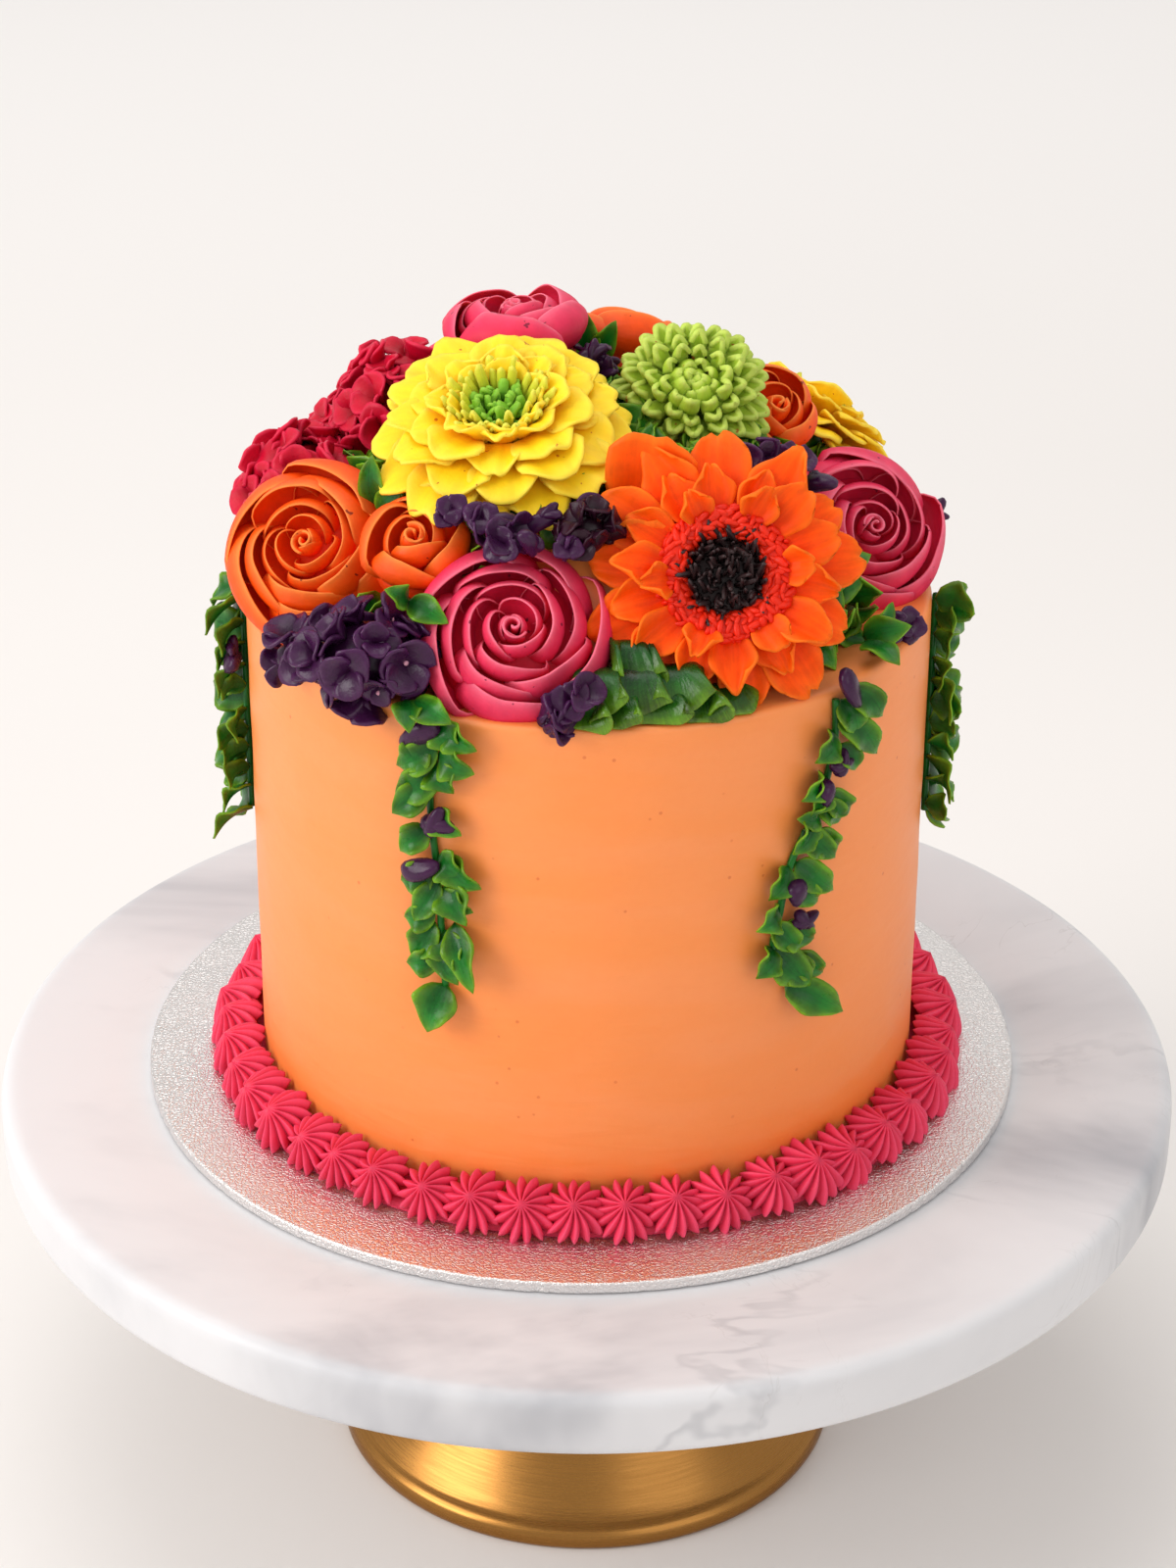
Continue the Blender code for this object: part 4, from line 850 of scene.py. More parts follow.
@functools.cache
def finishes():
    """All icing materials, made once, by name."""
    shade = bpy.context.scene.cake_colours
    # Edge colours below are painted highlights, on leaves also a yellower green; deep colours are painted
    # shade.
    icing_material("star_pink", shade.pink, paint(240, 84, 122), sunk(shade.pink, (0.55, 0.1, 0.3)),
                   edge_highlight_and_tint_share=0.6, deep_shade_share=0.85, drag=0.2)
    icing_material("rose_magenta", shade.magenta, paint(250, 124, 148),
                   sunk(shade.magenta, (0.72, 0.12, 0.36)), deep_shade_share=0.85, subsurface=0.2,
                   specks=paint(92, 18, 44))
    icing_material("blossom_crimson", shade.crimson, paint(220, 38, 76),
                   sunk(shade.crimson, (0.5, 0.1, 0.3)), deep_shade_share=1.0, roughness=0.42, subsurface=0.05,
                   specular=0.22)
    icing_material("rose_orange", shade.orange, paint(255, 150, 66), sunk(shade.orange, (0.8, 0.4, 0.3)),
                   deep_shade_share=0.75, specks=paint(110, 30, 20))
    icing_material("daisy_orange", shade.orange, paint(254, 128, 30), sunk(shade.orange, (0.8, 0.36, 0.2)),
                   deep_shade_share=1.0, drag=0.4, edge_highlight_and_tint_share=0.6, subsurface=0.04, specular=0.13, mottle=0.45)
    icing_material("bead_coral", shade.coral, paint(255, 80, 30), sunk(shade.coral, (0.7, 0.3, 0.3)),
                   deep_shade_share=0.4, roughness=0.42)
    icing_material("eye_dark", shade.dark, lifted(shade.dark, 0.03), sunk(shade.dark, (0.4, 0.4, 0.4)),
                   roughness=0.36, subsurface=0.0)
    icing_material("petal_yellow", shade.yellow, paint(255, 224, 76), sunk(shade.yellow, (0.88, 0.56, 0.3)),
                   deep_shade_share=0.9, drag=0.3, mottle=0.18, specks=paint(186, 92, 22))
    icing_material("finger_lime", colour(208, 208, 44), paint(232, 226, 90), paint(128, 160, 30),
                   deep_shade_share=0.9)
    icing_material("stamen_green", colour(118, 176, 38), paint(150, 200, 66), paint(66, 118, 20),
                   deep_shade_share=0.9)
    icing_material("spoon_lime", shade.lime, paint(206, 222, 112), paint(112, 142, 26),
                   deep_shade_share=0.85, edge_highlight_and_tint_share=0.55, specks=paint(176, 84, 30))
    icing_material("leaf_green", shade.leaf, paint(128, 172, 26), paint(8, 62, 18), edge_highlight_and_tint_share=0.65,
                   deep_shade_share=0.75, roughness=0.3, coat=0.04, mottle=1.1, specular=0.24)
    # Darker copy of the leaf icing: painted shade for the ruffle, whose surfaces face up into the light.
    icing_material("leaf_dark", sunk(shade.leaf, (0.7, 0.5, 0.5))[:3], paint(112, 150, 24), paint(4, 36, 10),
                   edge_highlight_and_tint_share=0.7, deep_shade_share=0.85, roughness=0.25, mottle=1.4, drag=0.8, coat=0.08,
                   specular=0.32)
    icing_material("stem_green", colour(48, 134, 40), paint(90, 160, 40), paint(26, 96, 28), roughness=0.4)
    icing_material("bud_purple", shade.purple, paint(84, 36, 84), sunk(shade.purple, (0.5, 0.4, 0.5)),
                   roughness=0.27, coat=0.05, subsurface=0.03, edge_highlight_and_tint_share=0.4, mottle=0.6)
    icing_material("bunch_dark", colour(44, 10, 30), paint(56, 20, 38), paint(16, 4, 12), roughness=0.32,
                   subsurface=0.0, edge_highlight_and_tint_share=0.3, mottle=0.5)
    icing_material("pearl_pink", colour(216, 150, 172), paint(240, 200, 210), paint(170, 110, 140),
                   roughness=0.3)
    return bpy.data.materials


def cake_material():
    """Smooth peach icing: faint scraper marks, fine grain and a few air holes, with painted shade in the
    holes and towards the bottom.
    """
    base = bpy.context.scene.cake_colours.peach
    made, tree, shader = new_material("smooth_peach", {
        "Subsurface Weight": 0.16, "Subsurface Scale": 0.004, "Subsurface Radius": (1.0, 0.5, 0.25),
        "Specular IOR Level": 0.6,
    })
    place = object_place(tree)
    stretch = node(tree, "ShaderNodeMapping", {"Vector": place, "Scale": (1.0, 1.0, 5.0)}).outputs[0]
    cloud = noise(tree, stretch, 14.0, 4.0, 0.55, 0.4)
    fine = noise(tree, place, 420.0, 4.0, 0.6)
    up = node(tree, "ShaderNodeSeparateXYZ", {0: place}).outputs[2]
    # Painted shade: the icing is deeper towards the bottom of the side.
    low_painted_shade = spread(tree, up, 0.21, 0.118, 0.0, 0.5)
    tinted = blend(tree, low_painted_shade, (*base, 1.0), sunk(base, (0.98, 0.84, 0.68)))
    tinted = blend(tree, spread(tree, cloud, 0.3, 0.75, 0.0, 0.22), tinted, lifted(base, 0.12))
    tinted = blend(tree, spread(tree, fine, 0.35, 0.8, 0.0, 0.12), tinted, sunk(base, (0.9, 0.78, 0.7)))
    grain = node(tree, "ShaderNodeGroup", {"Grain": 0.22, "Drag": 0.0, "Holes": 0.7, "Scale": 700.0},
                 node_tree=icing_grain_group()).outputs
    # Painted shade inside the air holes.
    tinted = blend(tree, grain["Holes"], tinted, sunk(base, (0.72, 0.5, 0.42)))
    marks = times(tree, noise(tree, stretch, 42.0, 3.0, 0.55, 0.6), 1.6)
    height = plus(tree, grain["Height"], marks)
    surfaced(tree, shader, tinted, spread(tree, cloud, 0.2, 0.8, 0.38, 0.5), height, 0.22, 0.0006)
    return made


def vein(tree, field, middle, width, broken, strength):
    """Output of a mask of thin lines where a noise passes its middle, broken here and there."""
    away = calc(tree, "ABSOLUTE", calc(tree, "SUBTRACT", field, middle))
    return times(tree, spread(tree, away, width, 0.0), times(tree, broken, strength))


def marble_material():
    """White marble: pale grey clouds, thin broken veins and a honed polish."""
    base = bpy.context.scene.cake_colours.marble
    made, tree, shader = new_material("white_marble", {
        "Subsurface Weight": 0.08, "Subsurface Scale": 0.006, "Subsurface Radius": (1.0, 0.9, 0.85),
        "Specular IOR Level": 0.3,
    })
    place = object_place(tree)
    streak = node(tree, "ShaderNodeMapping", {
        "Vector": place, "Rotation": (0.0, 0.0, -0.7), "Scale": (0.9, 1.6, 1.0),
    }).outputs[0]
    cloud = noise(tree, streak, 7.5, 5.0, 0.6, 0.5)
    wide = noise(tree, streak, 9.0, 5.0, 0.55, 0.5)
    narrow = noise(tree, place, 15.0, 5.0, 0.6, 1.8)
    broken = spread(tree, noise(tree, place, 7.0, 4.0, 0.6, 1.2), 0.48, 0.66)
    smudge = times(tree, spread(tree, cloud, 0.46, 0.68), spread(tree, wide, 0.5, 0.74, 0.0, 0.9))
    tinted = (*base, 1.0)
    for mask, factors in (
        (spread(tree, cloud, 0.4, 0.66, 0.0, 0.8), (0.83, 0.835, 0.845)),
        (smudge, (0.52, 0.53, 0.56)),
        (vein(tree, wide, 0.5, 0.016, broken, 0.55), (0.62, 0.63, 0.65)),
        (vein(tree, narrow, 0.47, 0.007, broken, 0.35), (0.6, 0.58, 0.56)),
    ):
        tinted = blend(tree, mask, tinted, sunk(base, factors))
    surfaced(tree, shader, tinted, spread(tree, cloud, 0.3, 0.7, 0.34, 0.44),
             noise(tree, place, 300.0, 2.0), 0.05, 0.0002)
    return made


def foil_material():
    """Silver foil paper pressed into a fine crinkle, with painted shade along the crinkle lines."""
    base = bpy.context.scene.cake_colours.foil
    made, tree, shader = new_material("silver_foil", {"Metallic": 1.0})
    place = object_place(tree)
    warp = node(tree, "ShaderNodeTexNoise", {"Vector": place, "Scale": 420.0, "Detail": 2.0}).outputs["Color"]
    shift = node(tree, "ShaderNodeVectorMath", {0: warp, 1: (0.0022, 0.0022, 0.0022)}, operation="MULTIPLY")
    moved_place = node(tree, "ShaderNodeVectorMath", {0: place, 1: shift.outputs[0]}, operation="ADD")
    cells = node(tree, "ShaderNodeTexVoronoi", {"Vector": moved_place.outputs[0], "Scale": 900.0},
                 feature="DISTANCE_TO_EDGE")
    ridge = spread(tree, cells.outputs["Distance"], 0.0, 0.22)
    cloud = noise(tree, place, 30.0, 3.0)
    dull = spread(tree, cloud, 0.3, 0.7, 0.0, 0.4)
    tinted = blend(tree, dull, (*base, 1.0), sunk(base, (0.93, 0.92, 0.92)))
    # Painted shade: darker along the crinkle creases.
    tinted = blend(tree, spread(tree, ridge, 0.5, 0.0, 0.0, 0.35), tinted, sunk(base, (0.8, 0.79, 0.8)))
    surfaced(tree, shader, tinted, spread(tree, cloud, 0.3, 0.7, 0.3, 0.42), ridge, 0.45, 0.00025)
    return made


def brass_material():
    """Satin brass brushed round its axis."""
    base = bpy.context.scene.cake_colours.brass
    made, tree, shader = new_material("brushed_brass", {"Metallic": 1.0, "Anisotropic": 0.55})
    place = object_place(tree)
    parts = node(tree, "ShaderNodeSeparateXYZ", {0: place}).outputs
    flat = vector(tree, parts[0], parts[1])
    reach = node(tree, "ShaderNodeVectorMath", {0: flat}, operation="LENGTH").outputs["Value"]
    turn = calc(tree, "ARCTAN2", parts[1], parts[0])
    line_place = vector(tree, times(tree, reach, 900.0), times(tree, parts[2], 900.0), times(tree, turn, 1.5))
    lines = noise(tree, line_place, 2.2, 4.0, 0.7)
    tarnish = noise(tree, place, 34.0, 4.0, 0.6)
    tinted = blend(tree, spread(tree, lines, 0.3, 0.7, 0.0, 0.3), (*base, 1.0), sunk(base, (0.84, 0.8, 0.72)))
    tinted = blend(tree, spread(tree, tarnish, 0.5, 0.8, 0.0, 0.3), tinted, sunk(base, (0.86, 0.78, 0.66)))
    tangent = node(tree, "ShaderNodeTangent", direction_type="RADIAL", axis="Z").outputs[0]
    feed(tree, shader, {"Tangent": tangent})
    surfaced(tree, shader, tinted, spread(tree, lines, 0.25, 0.75, 0.2, 0.34), lines, 0.12, 0.0001)
    return made


def floor_material():
    """Plain pale studio floor with painted light: lighter towards the back."""
    made, tree, shader = new_material("pale_floor", {"Roughness": 0.6, "Specular IOR Level": 0.2})
    place = object_place(tree)
    cloud = spread(tree, noise(tree, place, 1.5, 2.0), 0.3, 0.7)
    tinted = blend(tree, cloud, paint(236, 232, 229), paint(233, 229, 226))
    # Painted light: the floor grows lighter away from the camera.
    away = node(tree, "ShaderNodeSeparateXYZ", {0: place}).outputs[1]
    tinted = blend(tree, spread(tree, away, 0.5, 1.6), tinted, paint(252, 249, 247))
    feed(tree, shader, {"Base Color": tinted})
    return made


# Stand, board and cake

# Lip of the foot: distance in from the foot's radius, and height, in millimetres
FOOT_LIP = [(3, 6.6), (2.2, 6), (1.2, 5.3), (0.4, 4), (0, 2.4), (0, 1.4), (0.5, 0.5), (1.2, 0), (4, 0)]


def disc_profile(radius, bottom, top, hold, upper, lower):
    """Profile of a plate, with the radius and steps of its upper and lower rounding."""
    return [(0.0, top), (hold, top), (0.1, top),
            *rounded((radius, top), (0.0, top), (radius, 0.0), *upper),
            *rounded((radius, bottom), (radius, 1.0), (0.0, bottom), *lower),
            (0.1, bottom), (0.0, bottom)]


def dome_points(radius, rise, height, count):
    """Profile of a dome from its top outwards."""
    return [(radius * math.sin(angle), height + rise * math.cos(angle))
            for angle in 0.5 * math.pi * np.linspace(0.0, 1.0, count)]


class CAKE_OT_stand(bpy.types.Operator):
    """Makes the brass foot and the marble plate"""

    bl_idname = "cake.stand"
    bl_label = "Stand"

    def execute(self, context):
        size = context.scene.cake_sizes
        top, neck, lip = size.plate_bottom - 0.0003, size.neck_radius, size.foot_radius
        collar, inner = neck + 0.006, lip - 0.0035
        profile = [(0.0, top), (neck, top), *rounded((collar, top), (0.0, top), (collar, 0.0), 0.0006, 4),
                   (collar, top - 0.0022), (collar - 0.0005, top - 0.0038)]
        for share in np.linspace(0.03, 1.0, 28):
            profile.append((neck + (inner - neck) * share ** 2.4, top - 0.004 - (top - 0.011) * share))
        profile += [(lip - inset * MM, height * MM) for inset, height in FOOT_LIP]
        profile += [(0.03, 0.0), (0.0, 0.0)]
        add_piece("foot_brushed", lathe(profile, 192), brass_material(), ["stand_foot"])
        profile = disc_profile(size.plate_radius, size.plate_bottom, size.plate_top, 0.05, (0.0045, 9),
                               (0.0035, 8))
        add_piece("plate_marble", lathe(profile, 256), marble_material(), ["stand_plate"])
        return {"FINISHED"}


class CAKE_OT_board(bpy.types.Operator):
    """Makes the silver board, with faint pleats in the foil of its edge"""

    bl_idname = "cake.board"
    bl_label = "Board"

    def execute(self, context):
        size = context.scene.cake_sizes
        edge = size.board_radius
        rounding = (0.0006, 5)
        profile = disc_profile(edge, size.board_bottom, size.board_top, 0.06, rounding, rounding)
        places = np.random.default_rng(5).uniform(-math.pi, math.pi, 70)

        def pleats(radius, height, turn):
            side = (radius > edge - rounding[0]).astype(float)
            for place in places:
                away = np.angle(np.exp(1j * (turn - place)))
                radius = radius - side * 0.00022 * np.exp(-(away / 0.006) ** 2)
            return radius, height

        centre = (0.5 * (low("cake_board").x + high("cake_board").x), 0.0)
        shape = lathe(profile, 720, centre, pleats)
        add_piece("board_foil", shape, foil_material(), ["cake_board"])
        return {"FINISHED"}


class CAKE_OT_icing(bpy.types.Operator):
    """Makes the smooth iced cake with the mound that carries the flowers"""

    bl_idname = "cake.icing"
    bl_label = "Iced cake"

    def execute(self, context):
        size = context.scene.cake_sizes
        radius, bottom, top = size.cake_radius, size.cake_bottom, size.cake_top
        profile = dome_points(size.mound_radius, size.mound_top - top, top, 26)
        profile.append((size.mound_radius + 0.002, top - 0.0001))
        profile += rounded((radius, top), (0.0, top), (radius, 0.0), 0.0019, 7)
        profile += [(radius, height) for height in np.linspace(top - 0.006, bottom + 0.001, 30)]
        profile += [(radius - 0.0004, bottom), (radius - 0.003, bottom), (0.04, bottom), (0.0, bottom)]

        def hand_smoothed(reach, height, turn):
            share = np.clip((height - top) / 0.01, 0.0, 1.0) * np.clip(reach / 0.05 - 0.2, 0.0, 1.0)
            lumps = 0.0016 * np.sin(7 * turn + 60 * height) * np.sin(5 * turn - 130 * height) * share
            side = 0.00016 * np.sin(3 * turn + 40 * height) * np.sin(9 * turn - 55 * height)
            side = side + 0.0001 * np.sin(14 * turn + 150 * height)
            return np.minimum(reach + lumps - np.abs(side) * (reach > 0.08), radius), height - np.abs(lumps)

        shape = lathe(profile, 288, wobble=hand_smoothed)
        add_piece("cake_iced", shape, cake_material(), ["cake"])
        return {"FINISHED"}


STAR_RIDGES = 14


def star(radius, height, seed, rows=13):
    """Piped star: rounded ridges with free ends that gather in a pinched peak."""
    draw = np.random.default_rng(seed)
    columns = STAR_RIDGES * 8
    turn = np.linspace(0.0, 2.0 * math.pi, columns, endpoint=False)[None, :]
    u = np.linspace(0.0, 1.0, rows)[1:-1, None]
    phase = turn * STAR_RIDGES / 2.0
    each = draw.uniform(-1.0, 1.0, STAR_RIDGES)
    number = (turn * STAR_RIDGES / (2.0 * math.pi)).astype(int) % STAR_RIDGES
    crest = 0.4 * np.abs(np.sin(phase)) + 1.2 / math.pi * np.arcsin(np.abs(np.sin(phase)))
    swirl = draw.uniform(0.08, 0.3) * u ** 1.4
    dome = np.cos(0.5 * math.pi * u ** 1.25) ** 0.72
    torn = waves(turn, draw, 4, 19.0) * (1.0 - u) ** 4
    body = radius * (dome * (1.0 + 0.08 * each[number] * (1.0 - u) + 0.05 * torn) + 0.02)
    groove = 0.36 * (1.0 - 0.3 * u)
    reach = body * (1.0 - groove * (1.0 - crest))
    lift = height * (u ** 0.86) * (0.86 + 0.14 * crest)
    lift = lift + 0.14 * height * (1.0 - u) ** 5 * crest
    lift = lift + 0.16 * height * u ** 9
    angle = turn + swirl
    rings = np.stack((reach * np.cos(angle), reach * np.sin(angle), lift * np.ones_like(angle)), axis=-1)
    made = capped_rings(rings, (0.0, 0.0, 0.06 * height), (0.0, 0.0, 1.16 * height))
    # Painted highlight on the ridge crests and painted shade in the grooves, through the point values.
    ridge = np.clip((crest - 0.55) / 0.45, 0.0, 1.0) * np.ones_like(u)
    made.values[0][:-2, 0] = (0.15 + 0.85 * crest * np.ones_like(u)).ravel()
    made.values[0][:-2, 2] = (ridge * (0.4 + 0.6 * (1.0 - u))).ravel()
    return made


class CAKE_OT_border(bpy.types.Operator):
    """Makes the ring of piped stars round the foot of the cake"""

    bl_idname = "cake.border"
    bl_label = "Star border"

    def execute(self, context):
        size = context.scene.cake_sizes
        base, ring = size.board_top, size.star_ring
        material = finishes()["star_pink"]
        patterns = pattern_set([star(1.07 * size.star_radius, size.star_height, seed) for seed in range(6)])
        stars = ring_of(patterns, size.star_count, ring - 0.0012, base + 0.0042, 40.0, material, 11,
                        lean_spread=7.0, size_spread=0.08, turn=-0.02, turn_spread=0.14, spin_spread=0.35)
        drop_patterns()
        bead = [(0.0, base + 0.0032), (size.cake_radius - 0.001, base + 0.0032),
                (ring - 0.003, base + 0.0034), (ring + 0.001, base + 0.002), (ring + 0.003, base + 0.0004),
                (0.0, base + 0.0004)]
        shape = lathe(bead, 96).take(stars)
        add_piece("stars_piped", shape, material, ["star_border"])
        return {"FINISHED"}


# Flowers: place and radius in millimetres with the normal between, spin, a rose's finish, how far it closes

ROSES = {
    "magenta_rose_front": ((-17.2, -71.0, 270.5), (0.02, -0.75, 0.66), 23.0, 0.4, "magenta", -0.1),
    "orange_rose_left": ((-67.5, -35, 276), (-0.26, -0.76, 0.6), 23.0, 0.9, "orange", 0.08),
    "magenta_rose_right": ((69.5, -11, 270.5), (0.36, -0.74, 0.56), 22.0, 0.2, "magenta", 0.0),
    "orange_rosebud": ((-41, -48.5, 283), (-0.08, -0.52, 0.85), 13.8, 0.3, "orange", 0.6),
    "magenta_rose_top": ((-19, 22, 314), (-0.05, 0.06, 1.0), 19.5, 0.5, "magenta", 0.5),
    "orange_rose_right": ((46, 8, 294.5), (0.3, -0.5, 0.8), 13.4, 1.0, "orange", 0.3),
    "orange_rose_back": ((6, 50, 300), (0.05, 0.5, 0.86), 19.5, 0.6, "orange", 0.0),
    "magenta_rose_back": ((-33, 68, 280), (-0.3, 0.8, 0.5), 23.0, 0.0, "magenta", 0.0),
}
ZINNIAS = {
    "yellow_zinnia": ((-21, -24, 303.5), (-0.08, -0.36, 0.93), 33.5, 0.0),
    "yellow_zinnia_right": ((56, 44, 277), (0.5, 0.4, 0.77), 31.0, 0.0),
    "yellow_zinnia_back": ((20, 76, 274), (0.1, 0.8, 0.6), 29.0, 0.0),
}
GERBERA = ((31.8, -62, 280), (0.06, -0.86, 0.5), 33.5, 0.1)
CHRYSANTHEMUM = ((25.5, -6, 306), (0.06, -0.7, 0.72), 19.5, 0.0)

# Radius at which the lists of rings and cores below are drawn, in millimetres
WIDE_FLOWER = 33.5
GREEN_FLOWER = 19.5

# Rings of a rose: petals, then root, belly and edge (radius and height), half turn in degrees, lip
ROSE_LAYERS = [
    (3, (1.2, -6.0), (3.2, -2.0), (2.3, 1.4), 92, 0.1),
    (3, (2.6, -7.5), (7.0, -2.8), (5.8, 2.0), 98, 0.2),
    (4, (5.0, -9.5), (11.8, -4.2), (9.6, 1.9), 78, 0.35),
    (5, (8.4, -12.0), (17.0, -6.0), (13.4, 1.2), 68, 0.5),
    (5, (12.0, -14.5), (22.2, -8.6), (17.2, -0.8), 72, 0.7),
]
# Cores of the flowers: radius and height
ROSE_CORE = [(0, -3.6), (2.5, -4.4), (5, -5.4), (9, -6.6), (13, -7.6), (17, -8.8), (19, -11.5), (16, -16),
             (11, -20), (0, -22)]
ZINNIA_CORE = [(0, 1.2), (4, 1.0), (8, 0.2), (11, -3), (14, -7), (13, -12), (8, -19), (0, -19)]
GERBERA_CORE = [(0, -3.4), (8, -3.6), (12, -3.6), (15.5, -5.2), (15, -9), (9, -20), (0, -20)]
CHRYSANTHEMUM_CORE = [(0, -4.2), (3.6, -4.4), (7, -6), (9.5, -9), (10, -13), (8, -20), (0, -20)]


def core_of(core, unit, steps=40):
    """Solid turned from a list of radius and height in millimetres times `unit`."""
    return lathe([(radius * unit * MM, height * unit * MM) for radius, height in core], steps)


def rose_shape(radius, seed, material, closed):
    """Rose of a rolled centre and rings of petals that overlap.

    A closed one stands up like a cup, and a negative share opens it.
    """
    layers = [layer for layer in ROSE_LAYERS if layer[2][0] < radius * 1.02]
    unit = radius / (layers[-1][2][0] + 1.6)
    reach = layers[-1][2][0] / ROSE_LAYERS[-1][2][0]
    shape = core_of([(wide * reach, height) for wide, height in ROSE_CORE], unit)
    # The core takes the deep colour: painted shade in the gaps between petals.
    shape.values[0][:, 0] = 0.1
    shape.take(rolled_centre(unit, seed))
    shut = closed > 0.0
    for number, (count, root, belly, edge, half_turn, lip) in enumerate(layers):
        far = edge[0] - 1.5 * closed * (belly[0] - root[0]) * (0.25 if shut else 0.4)
        top = edge[1] + closed * (2.8 - edge[1]) * (1.0 if shut else 0.2)
        wide = (belly[0], belly[1] + 0.45 * closed * (top - belly[1]))
        patterns = pattern_set([wall_petal(
            [value * unit for value in root], [value * unit for value in wide], (far * unit, top * unit),
            half_turn, seed * 31 + number * 7 + variant, lip=lip * unit * (1.0 - 0.6 * max(closed, 0.0)),
            wave=0.14 + 0.1 * number, thick=0.95 if shut else 1.2,
        ) for variant in range(3)])
        shape.take(ring_of(patterns, count, root[0] * unit * MM, root[1] * unit * MM, 0.0, material,
                           seed * 13 + number, lean_spread=5.0, size_spread=0.07, turn=0.37 * number,
                           turn_spread=0.17))
        drop_patterns()
    return shape


def moved(shape, matrix):
    """A new shape: the first one placed by a matrix."""
    return Shape().take(shape, matrix)


class CAKE_OT_roses(bpy.types.Operator):
    """Makes the eight roses"""

    bl_idname = "cake.roses"
    bl_label = "Roses"

    def execute(self, context):
        held = finishes()
        for seed, (name, (place, normal, radius, spin, shade, closed)) in enumerate(ROSES.items(), 1):
            material = held["rose_" + shade]
            shape = moved(rose_shape(radius, seed, material, closed), facing(mm(place), normal, spin))
            add_piece(name + "_piped", shape, material, [name])
        return {"FINISHED"}


# Rings of petals: count, root radius, length, width, root height, lean
ZINNIA_RINGS = [
    (13, 12.6, 20.8, 18.5, -3.4, 4.0),
    (12, 12.0, 16.8, 17.0, -1.2, -7.0),
    (10, 10.4, 13.2, 15.5, 0.4, -19.0),
    (8, 10.0, 9.4, 12.5, 1.0, -46.0),
    (7, 9.8, 7.4, 9.8, 0.8, -68.0),
]
GERBERA_RINGS = [
    (13, 13.6, 20.0, 13.8, -5.4, 3.0),
    (14, 13.2, 14.4, 11.0, -3.4, -10.0),
    (6, 13.0, 9.4, 9.6, -2.6, -26.0),
]
CHRYSANTHEMUM_RINGS = [
    (15, 8.6, 11.2, 5.0, -9.6, 12.0),
    (15, 8.6, 10.4, 4.9, -7.4, 1.0),
    (15, 8.4, 9.4, 4.7, -5.4, -10.0),
    (14, 7.8, 8.4, 4.5, -3.8, -22.0),
    (12, 7.0, 7.4, 4.3, -2.8, -38.0),
    (10, 6.0, 6.4, 4.0, -2.4, -56.0),
    (8, 4.3, 5.4, 3.6, -3.0, -72.0),
    (5, 2.5, 5.2, 3.0, -3.4, -80.0),
    (3, 1.0, 4.6, 2.6, -3.6, -84.0),
]
# Rings of fingers inside a yellow flower: count, radius, lean
FINGER_RINGS = [(26, 8.8, -72.0), (19, 7.0, -82.0)]


def petal_rings(rings, unit, seed, material, make, lean_spread=6.0):
    """Shape of several rings of flat petals."""
    shape = Shape()
    for number, (count, root, length, width, height, lean) in enumerate(rings):
        first = seed * 41 + number * 9
        patterns = pattern_set([make(length * unit, width * unit, first + step, number) for step in range(4)])
        shape.take(ring_of(patterns, count, root * unit * MM, height * unit * MM, lean, material,
                           seed * 17 + number, lean_spread=lean_spread, size_spread=0.09, turn=0.43 * number,
                           turn_spread=0.14, height_spread=0.0005))
        drop_patterns()
    return shape


def dome_shape(radius, rise, height, steps=32):
    """Low closed dome in metres, on which things are scattered."""
    base = height - 0.4 * rise
    return lathe([*dome_points(radius, rise, height, 9), (0.9 * radius, base), (0.0, base)], steps)


def part_of(mesh, kept):
    """Copy of a mesh with only the faces whose middle passes a test."""
    made = bpy.data.meshes.new("part")
    faces = [tuple(face.vertices) for face in mesh.polygons if kept(face.center)]
    made.from_pydata([vert.co.copy() for vert in mesh.vertices], [], faces)
    return made


def upper_part(shape, lowest):
    """Mesh of the faces of a shape whose middle is above a height."""
    return part_of(shape.mesh("whole"), lambda middle: middle.z > lowest)


def scattered(patterns, surface, distance, material, seed, size_spread, tip_spread):
    """Mesh of patterns scattered over a surface, at least a distance apart."""
    return grown(scatter_tree(), {
        "Patterns": patterns, "Distance": distance, "Size spread": size_spread, "Tip spread": tip_spread,
        "Seed": seed, "Material": material,
    }, surface)


def upright(shape):
    """Pattern turned from +X to +Z."""
    return moved(shape, Matrix.Rotation(math.radians(-90), 4, "Y"))


